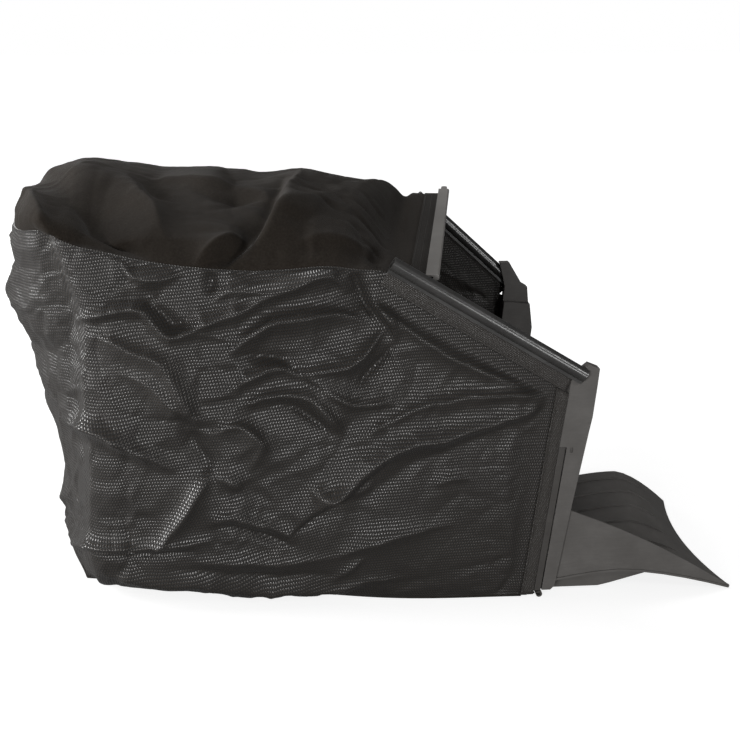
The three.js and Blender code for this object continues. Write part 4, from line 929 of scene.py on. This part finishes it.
def top_base(u, v):
    def hem_line(t):
        points = strip_edge(mix(0.03, 0.95, t), np.full_like(t, TOP_HEM_TUCK))
        points[..., 2] = under_strip(points)
        return points

    near = seam_then(NEAR_SEAM, hem_line(np.array(0.0)), 0.9)
    far = seam_then(FAR_SEAM, hem_line(np.array(1.0)), 0.94)
    points = patch(near, far, on_seam(REAR_SEAM), hem_line, u, v)
    climb = np.minimum(1, u / ROLL_LENGTH)
    roll = (1 - (1 - climb) ** 2) ** 0.75
    front = 1 - smooth((u - mix(0.76, 0.86, v)) / 0.12)
    across = 1 - np.abs(2 * v - 1) ** mix(2.6, 8.0, smooth((u - 0.82) / 0.12))
    hump = lambda middle, reach: np.exp(-((u - middle) / reach) ** 2)
    level = 1 - 0.1 * hump(0.12, 0.05) - 0.14 * hump(0.35, 0.09) + 0.2 * hump(0.66, 0.08)
    points[..., 2] += TOP_CROWN * roll * front * across * level
    points[..., 0] -= ROLL_OVERHANG * across * np.sin(math.pi * np.clip(u / 0.16, 0, 1))
    points[..., 2] = mix(points[..., 2], under_strip(points), smooth((u - 0.9) / 0.045))
    return points


def top_cloth(columns, rows):
    u, v = grid(columns, rows)
    points = top_base(u, v)
    n = normals(points, (0, 0, 1))
    x, y = seen_at(points)
    x = x + 4 * noise_on(points, 0, 1, 50, 91)
    height = TOP_FOLD_GAIN * fold_height(x, y, TOP_FOLDS)
    height += crumple(points[..., 0], points[..., 1], 95, 70, 3.0)
    height += 0.6 * crumple(points[..., 0], points[..., 1], 99, 28, 1.2)
    pucker = np.exp(-v / 0.05) * smooth(v / 0.01)
    height += pucker * 2.5 * noise(points[..., 0] / 12, points[..., 1] / 40, 97)
    free = edge_ease(u, v, 0.02, 0.025, right=False) * (1 - smooth((u - 0.87) / 0.05))
    points = points + n * (height * free)[..., None]
    points = relax(points, 1)
    uv = np.stack([run_along(points, 0), run_along(points, 1)], axis=-1)
    return points, (0, 0, 1), uv


def bottom_cloth(columns, rows):
    u, v = grid(columns, rows)
    hem_x = FRONT_FOOT_X - BOTTOM_HEM_WIDTH

    def lowered(points):
        points = points.copy()
        points[..., 2] = BOTTOM_Z
        return points

    near = lambda t: lowered(spline(NEAR_FOOT, t * 0.96))
    far = lambda t: lowered(spline(FAR_FOOT, t * 0.96))
    a, b = near(np.array(1.0)), far(np.array(1.0))
    front_x = mix(a[0], hem_x, 0.5)
    front = lambda t: np.stack(
        [np.full_like(t, front_x), mix(a[1], b[1], t), np.full_like(t, BOTTOM_Z)], axis=-1)
    points = patch(near, far, lambda t: lowered(spline(REAR_FOOT, t)), front, u, v)
    lift = 2.5 * smooth(noise_on(points, 0, 1, 70, 61)) * edge_ease(u, v, 0.1, 0.1)
    points[..., 2] += lift
    return points, (0, 0, -1), points[..., :2].copy()


def hem_band(near):
    line = NEAR_RAIL if near else FAR_RAIL
    outward = -1 if near else 1
    y = (0.0 if near else FRAME_WIDTH) + outward * (TAPE + GAP)
    outer = front_edge(line, y, 0, RAIL_HEM_WIDTH + GAP, HEM_FOOT_Z)
    inner = front_edge(line, y, HEM_WIDTH, RAIL_HEM_WIDTH + GAP, HEM_FOOT_Z)

    def surface(u, v):
        points = mix(inner(v), outer(v), u[..., None])
        ripple = 0.5 * noise(points[..., 2] / 14, points[..., 0] / 30, 111) + 0.3
        points[..., 1] += outward * ripple * smooth((1 - u) / 0.3) * smooth(u / 0.05)
        points[..., 1] += outward * HEM_ROLL * np.exp(-((u - 0.08) / 0.07) ** 2)
        if not near:
            points[..., 0] += u * (1.2 + 8 * smooth((v - 0.6) / 0.12))
        return points

    return surface


def rail_band(near):
    line = NEAR_RAIL if near else FAR_RAIL
    outward = -1 if near else 1
    skin = line.y + outward * (TAPE + GAP)

    def surface(u, v):
        travel = mix(line.length - GAP, RAIL_HEM_START - (0 if near else 6), u)
        rise = mix(JAW_FOOT - RAIL_HEM_WIDTH, JAW_FOOT + 3.1, v)
        points = line.at(travel, rise)
        ripple = 0.5 * noise(travel / 16, rise / 30, 121) + 0.3
        points[..., 1] = skin + outward * ripple * smooth((0.75 - v) / 0.3) * smooth(v / 0.05)
        points[..., 1] += outward * HEM_ROLL * np.exp(-((v - 0.07) / 0.06) ** 2)
        return points

    return surface


def top_band(u, v):
    back = mix(TOP_HEM_WIDTH, -STRIP_SLOT_DEPTH * 0.7, u)
    return strip_edge(mix(0.02, 0.96, v), back) + [0, 0, TAPE / 2]


def bottom_band(u, v):
    near, far = spline(NEAR_FOOT, 0.985), spline(FAR_FOOT, 0.985)
    rear_x = mix(spline(NEAR_FOOT, 0.96)[0], FRONT_FOOT_X - BOTTOM_HEM_WIDTH, 0.5) - 2
    front_x = ARM_FOOT_X + ARM_LEAN * FOOT_Z - ARM_FRONT_WALL - SILL_DEPTH + SILL_WALL - GAP
    y = mix(near[1] + 2.1, far[1] - 2.1, v)
    return np.stack([mix(rear_x, front_x, u), y, np.full_like(y, BOTTOM_HEM_Z)], axis=-1)


def stitches(name, path, outward, length=3.0, pitch=4.2, radius=0.33):
    """A row of separate stitches along a path of points."""
    path = np.asarray(path, float)
    run = run_along(path, 0)
    count = int(run[-1] // pitch)
    vertices, faces = [], []
    outward = np.asarray(outward, float)
    sides, rings = 6, 5
    for k in range(count):
        start = (k + 0.2) * pitch
        steps = np.linspace(start, start + length, rings)
        centre = np.stack([np.interp(steps, run, path[:, c]) for c in range(3)], axis=1)
        along = centre[-1] - centre[0]
        along /= np.linalg.norm(along)
        across = np.cross(along, outward)
        across /= np.linalg.norm(across)
        up = np.cross(across, along)
        if up @ outward < 0:
            up = -up
        first = len(vertices)
        for r in range(rings):
            share = r / (rings - 1)
            swell = math.sqrt(max(0.04, math.sin(math.pi * share)))
            middle = centre[r] + up * radius * (1.3 * math.sin(math.pi * share) - 0.5)
            for s in range(sides):
                angle = 2 * math.pi * s / sides
                spoke = across * math.cos(angle) + up * math.sin(angle)
                vertices.append(middle + spoke * radius * swell)
        for r in range(rings - 1):
            for s in range(sides):
                e = (s + 1) % sides
                a, b = first + r * sides, first + (r + 1) * sides
                faces.append((a + s, a + e, b + e, b + s))
        faces.append(tuple(first + s for s in reversed(range(sides))))
        faces.append(tuple(first + (rings - 1) * sides + s for s in range(sides)))
    return object_from(name, place(np.array(vertices)), faces, THREAD_LOOK)


def stitched(name, surface, fixed, axis, outward):
    """A stitch row across a band, where one of its parameters stays fixed."""
    t = np.linspace(0.015, 0.985, 160)
    f = np.full_like(t, fixed)
    path = surface(t, f) if axis == "u" else surface(f, t)
    row = stitches(name, path + np.asarray(outward, float) * STITCH_LIFT, outward)
    finish_piece(row, [])


# Cloth pieces
def build_panels():
    made = {}
    for name, cloth, look, thickness, nodes, slot in (
        ("wrap", wrap_cloth(), MESH_LOOK, 0, [
            "near_side_panel", "far_side_panel", "rear_panel", "near_rear_binding", "far_rear_binding",
        ], "mesh_cloth"),
        ("top", top_cloth(190, 130), WOVEN_LOOK, CLOTH, ["top_panel"], "woven_cloth"),
        ("bottom", bottom_cloth(70, 50), WOVEN_LOOK, CLOTH, ["bottom_panel"], "woven_cloth"),
    ):
        points, outward, uv = cloth
        piece = cloth_from(name + "_cloth", points, outward, look, thickness, uv)
        made[name] = finish_piece(piece, nodes)
    return made


def build_hems():
    made = {}
    plan = [
        ("near_front_hem", hem_band(True), 20, 60, (0, -1, 0), "v", (0.24, 0.86)),
        ("far_front_hem", hem_band(False), 20, 60, (0, 1, 0), "v", (0.24, 0.86)),
        ("near_rail_hem", rail_band(True), 90, 20, (0, -1, 0), "u", (0.2, 0.36)),
        ("far_rail_hem", rail_band(False), 70, 20, (0, 1, 0), "u", (0.2, 0.36)),
        ("top_front_hem", top_band, 10, 90, (0, 0, 1), "v", (0.1, 0.42)),
        ("bottom_front_hem", bottom_band, 8, 60, (0, 0, -1), "v", ()),
    ]
    for name, surface, columns, rows, outward, axis, fixed in plan:
        look = TAPE_LOOK if name.startswith(("top", "bottom")) else HEM_LOOK
        piece = cloth_from(name + "_tape", surface(*grid(columns, rows)), outward, look, TAPE * 0.9)
        made[name] = finish_piece(piece, [name])
        for k, share in enumerate(fixed):
            stitched(f"{name}_stitches_{k}", surface, share, axis, outward)
    return made


def build_seams():
    near = spline(NEAR_SEAM, np.linspace(0.0, 0.985, 150))
    far = spline(FAR_SEAM, np.linspace(0.0, 0.985, 110))
    back = spline(REAR_SEAM, np.linspace(0.01, 0.99, 90))
    loop = np.vstack([near[::-1], back, far])
    top = tube_from("top_seam_welt", loop, 1.15, MESH_LOOK)
    finish_piece(top, ["top_seam_binding"])
    low = np.vstack([
        spline(NEAR_FOOT, np.linspace(0.985, 0.0, 80)),
        spline(REAR_FOOT, np.linspace(0.01, 0.99, 50)),
        spline(FAR_FOOT, np.linspace(0.0, 0.985, 80)),
    ])
    bottom = tube_from("bottom_seam_welt", low, 1.3, TAPE_LOOK)
    finish_piece(bottom, ["bottom_seam_binding"])


panels = build_panels()
hems = build_hems()
build_seams()


def rail_sleeve(name, line, node):
    """The rail's round sleeve with its slot and lips below, along the whole rail."""
    arc = lambda radius, lip: [
        (radius * math.cos(a), SLEEVE_RISE + radius * math.sin(a))
        for a in np.linspace(-math.acos(lip / radius), math.pi + math.acos(lip / radius), 30)
    ]

    def profile(radius, lip):
        return [(lip, JAW_FOOT)] + arc(radius, lip) + [(-lip, JAW_FOOT)]

    outside = profile(SLEEVE_RADIUS, SLEEVE_LIP_OUT)
    inside = profile(SLEEVE_RADIUS - SLEEVE_WALL, SLEEVE_LIP_IN)
    ring = np.array(outside + inside[::-1])
    count, half = len(ring), len(outside)
    travels = np.linspace(-3.0, line.length, 36)
    vertices = []
    for travel in travels:
        middle = line.at(np.full(count, travel), ring[:, 1])
        middle[:, 1] += ring[:, 0]
        vertices.append(middle)
    faces = [
        (k + i, k + (i + 1) % count, k + count + (i + 1) % count, k + count + i)
        for k in range(0, (len(travels) - 1) * count, count) for i in range(count)
    ]
    last = (len(travels) - 1) * count
    for i in range(half - 1):
        a, b, c, d = i, i + 1, count - 2 - i, count - 1 - i
        faces += [(d, c, b, a), (last + a, last + b, last + c, last + d)]
    made = object_from(name, place(np.concatenate(vertices)), faces, RAIL_LOOK)
    made.data.set_sharp_from_angle(angle=math.radians(40))
    return finish_piece(made, [node])


rail_sleeve("near_rail_sleeve", NEAR_RAIL, "near_rail")
rail_sleeve("far_rail_sleeve", FAR_RAIL, "far_rail")


# Rigid CAD pieces keep their shape and get softened edges and their plastic
def dress(node, look, bevel):
    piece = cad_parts[node]
    mesh = piece.data
    mesh.materials.clear()
    mesh.materials.append(look)
    weld = piece.modifiers.new("weld", "WELD")
    weld.merge_threshold = 0.00002
    edge = piece.modifiers.new("edges", "BEVEL")
    edge.width = bevel / 1000
    edge.segments = 2
    edge.limit_method = "ANGLE"
    edge.angle_limit = math.radians(35.0)


for node, look, bevel in (
    ("front_frame", MOULDED, 0.7), ("chute_scoop", MOULDED, 0.5), ("top_strip", STRIP_SHEEN_LOOK, 0.5),
    ("near_arm_clip", CLIP_LOOK, 0.6), ("far_arm_clip", CLIP_LOOK, 0.6), ("sill_clip", CLIP_LOOK, 0.3),
):
    dress(node, look, bevel)


# Floor, light and camera
def floor_material():
    made = Nodes("floor_look")
    made.set(Base_Color=(0.22, 0.22, 0.22, 1), Roughness=0.9, Specular_IOR_Level=0.1)
    path = made.add("ShaderNodeLightPath")
    glow = made.add("ShaderNodeEmission")
    shade = made.add("ShaderNodeBsdfDiffuse")
    preset(shade, Color=(0.42, 0.42, 0.42, 1))
    far = made.add("ShaderNodeVectorMath", operation="LENGTH")
    made.link(made.place_of(1.0), far.inputs[0])
    reach = made.add("ShaderNodeMapRange")
    preset(reach, From_Min=0.5, From_Max=1.3, To_Min=0.82, To_Max=1.0)
    made.link(far.outputs["Value"], reach.inputs["Value"])
    made.link(reach.outputs["Result"], glow.inputs["Strength"])
    both = made.add("ShaderNodeAddShader")
    made.link(glow.outputs[0], both.inputs[0])
    made.link(shade.outputs[0], both.inputs[1])
    choose = made.add("ShaderNodeMixShader")
    made.link(path.outputs["Is Camera Ray"], choose.inputs[0])
    made.link(made.shader.outputs[0], choose.inputs[1])
    made.link(both.outputs[0], choose.inputs[2])
    made.link(choose.outputs[0], made.tree.nodes["Material Output"].inputs["Surface"])
    return made.material


def build_floor():
    half = 14.0
    corners = [(-half, -half, 0), (half, -half, 0), (half, half, 0), (-half, half, 0)]
    mesh = bpy.data.meshes.new("floor")
    mesh.from_pydata(corners, [], [(0, 1, 2, 3)])
    mesh.materials.append(floor_material())
    floor = add_object("floor", mesh)
    floor.location.z = -0.0002


def build_world():
    world = bpy.data.worlds.new("studio")
    bpy.context.scene.world = world
    world.use_nodes = True
    tree = world.node_tree
    back = tree.nodes["Background"]
    preset(back, Color=(1, 1, 1, 1), Strength=0.08)
    white = tree.nodes.new("ShaderNodeBackground")
    preset(white, Color=(1, 1, 1, 1))
    path = tree.nodes.new("ShaderNodeLightPath")
    choose = tree.nodes.new("ShaderNodeMixShader")
    tree.links.new(path.outputs["Is Camera Ray"], choose.inputs[0])
    tree.links.new(back.outputs[0], choose.inputs[1])
    tree.links.new(white.outputs[0], choose.inputs[2])
    tree.links.new(choose.outputs[0], tree.nodes["World Output"].inputs["Surface"])


def aim(made, at, direction):
    made.location = at
    made.rotation_mode = "QUATERNION"
    made.rotation_quaternion = direction.to_track_quat("-Z", "Y")


def lamp(name, at, towards, size, watts):
    light = bpy.data.lights.new(name, "AREA")
    light.shape = "RECTANGLE"
    light.size, light.size_y = size
    light.energy = watts
    aim(add_object(name, light), at, Vector(towards) - Vector(at))


def build_camera():
    data = bpy.data.cameras.new("camera")
    data.sensor_width = 36.0
    data.sensor_fit = "HORIZONTAL"
    data.lens = 36.0 * FOCAL / PICTURE
    data.clip_start, data.clip_end = 0.05, 60.0
    made = add_object("camera", data)
    aim(made, Vector(place(CAMERA_AT)), Vector(FORWARD))
    bpy.context.scene.camera = made


build_floor()
build_world()
for lamp_values in (  # name, place, aim and size in metres, watts
    ("left", (-2.3, -0.15, 0.8), (-0.1, 0.0, 0.22), (0.45, 1.2), 42.0),
    ("above", (-0.7, 0.65, 1.95), (-0.05, 0.0, 0.3), (0.8, 0.6), 14.0),
    ("front", (-0.95, -2.2, 0.6), (0.0, 0.0, 0.2), (0.8, 0.6), 24.0),
    ("right", (1.75, -1.45, 1.1), (0.1, 0.0, 0.2), (0.4, 0.4), 7.0),
    ("low", (1.0, -2.25, 0.3), (0.12, -0.2, 0.33), (0.35, 0.45), 6.0),
    ("back", (-0.9, 2.3, 0.5), (0.0, 0.0, 0.2), (0.9, 0.7), 15.0),
):
    lamp(*lamp_values)
build_camera()
bpy.context.scene.view_settings.view_transform = "Standard"
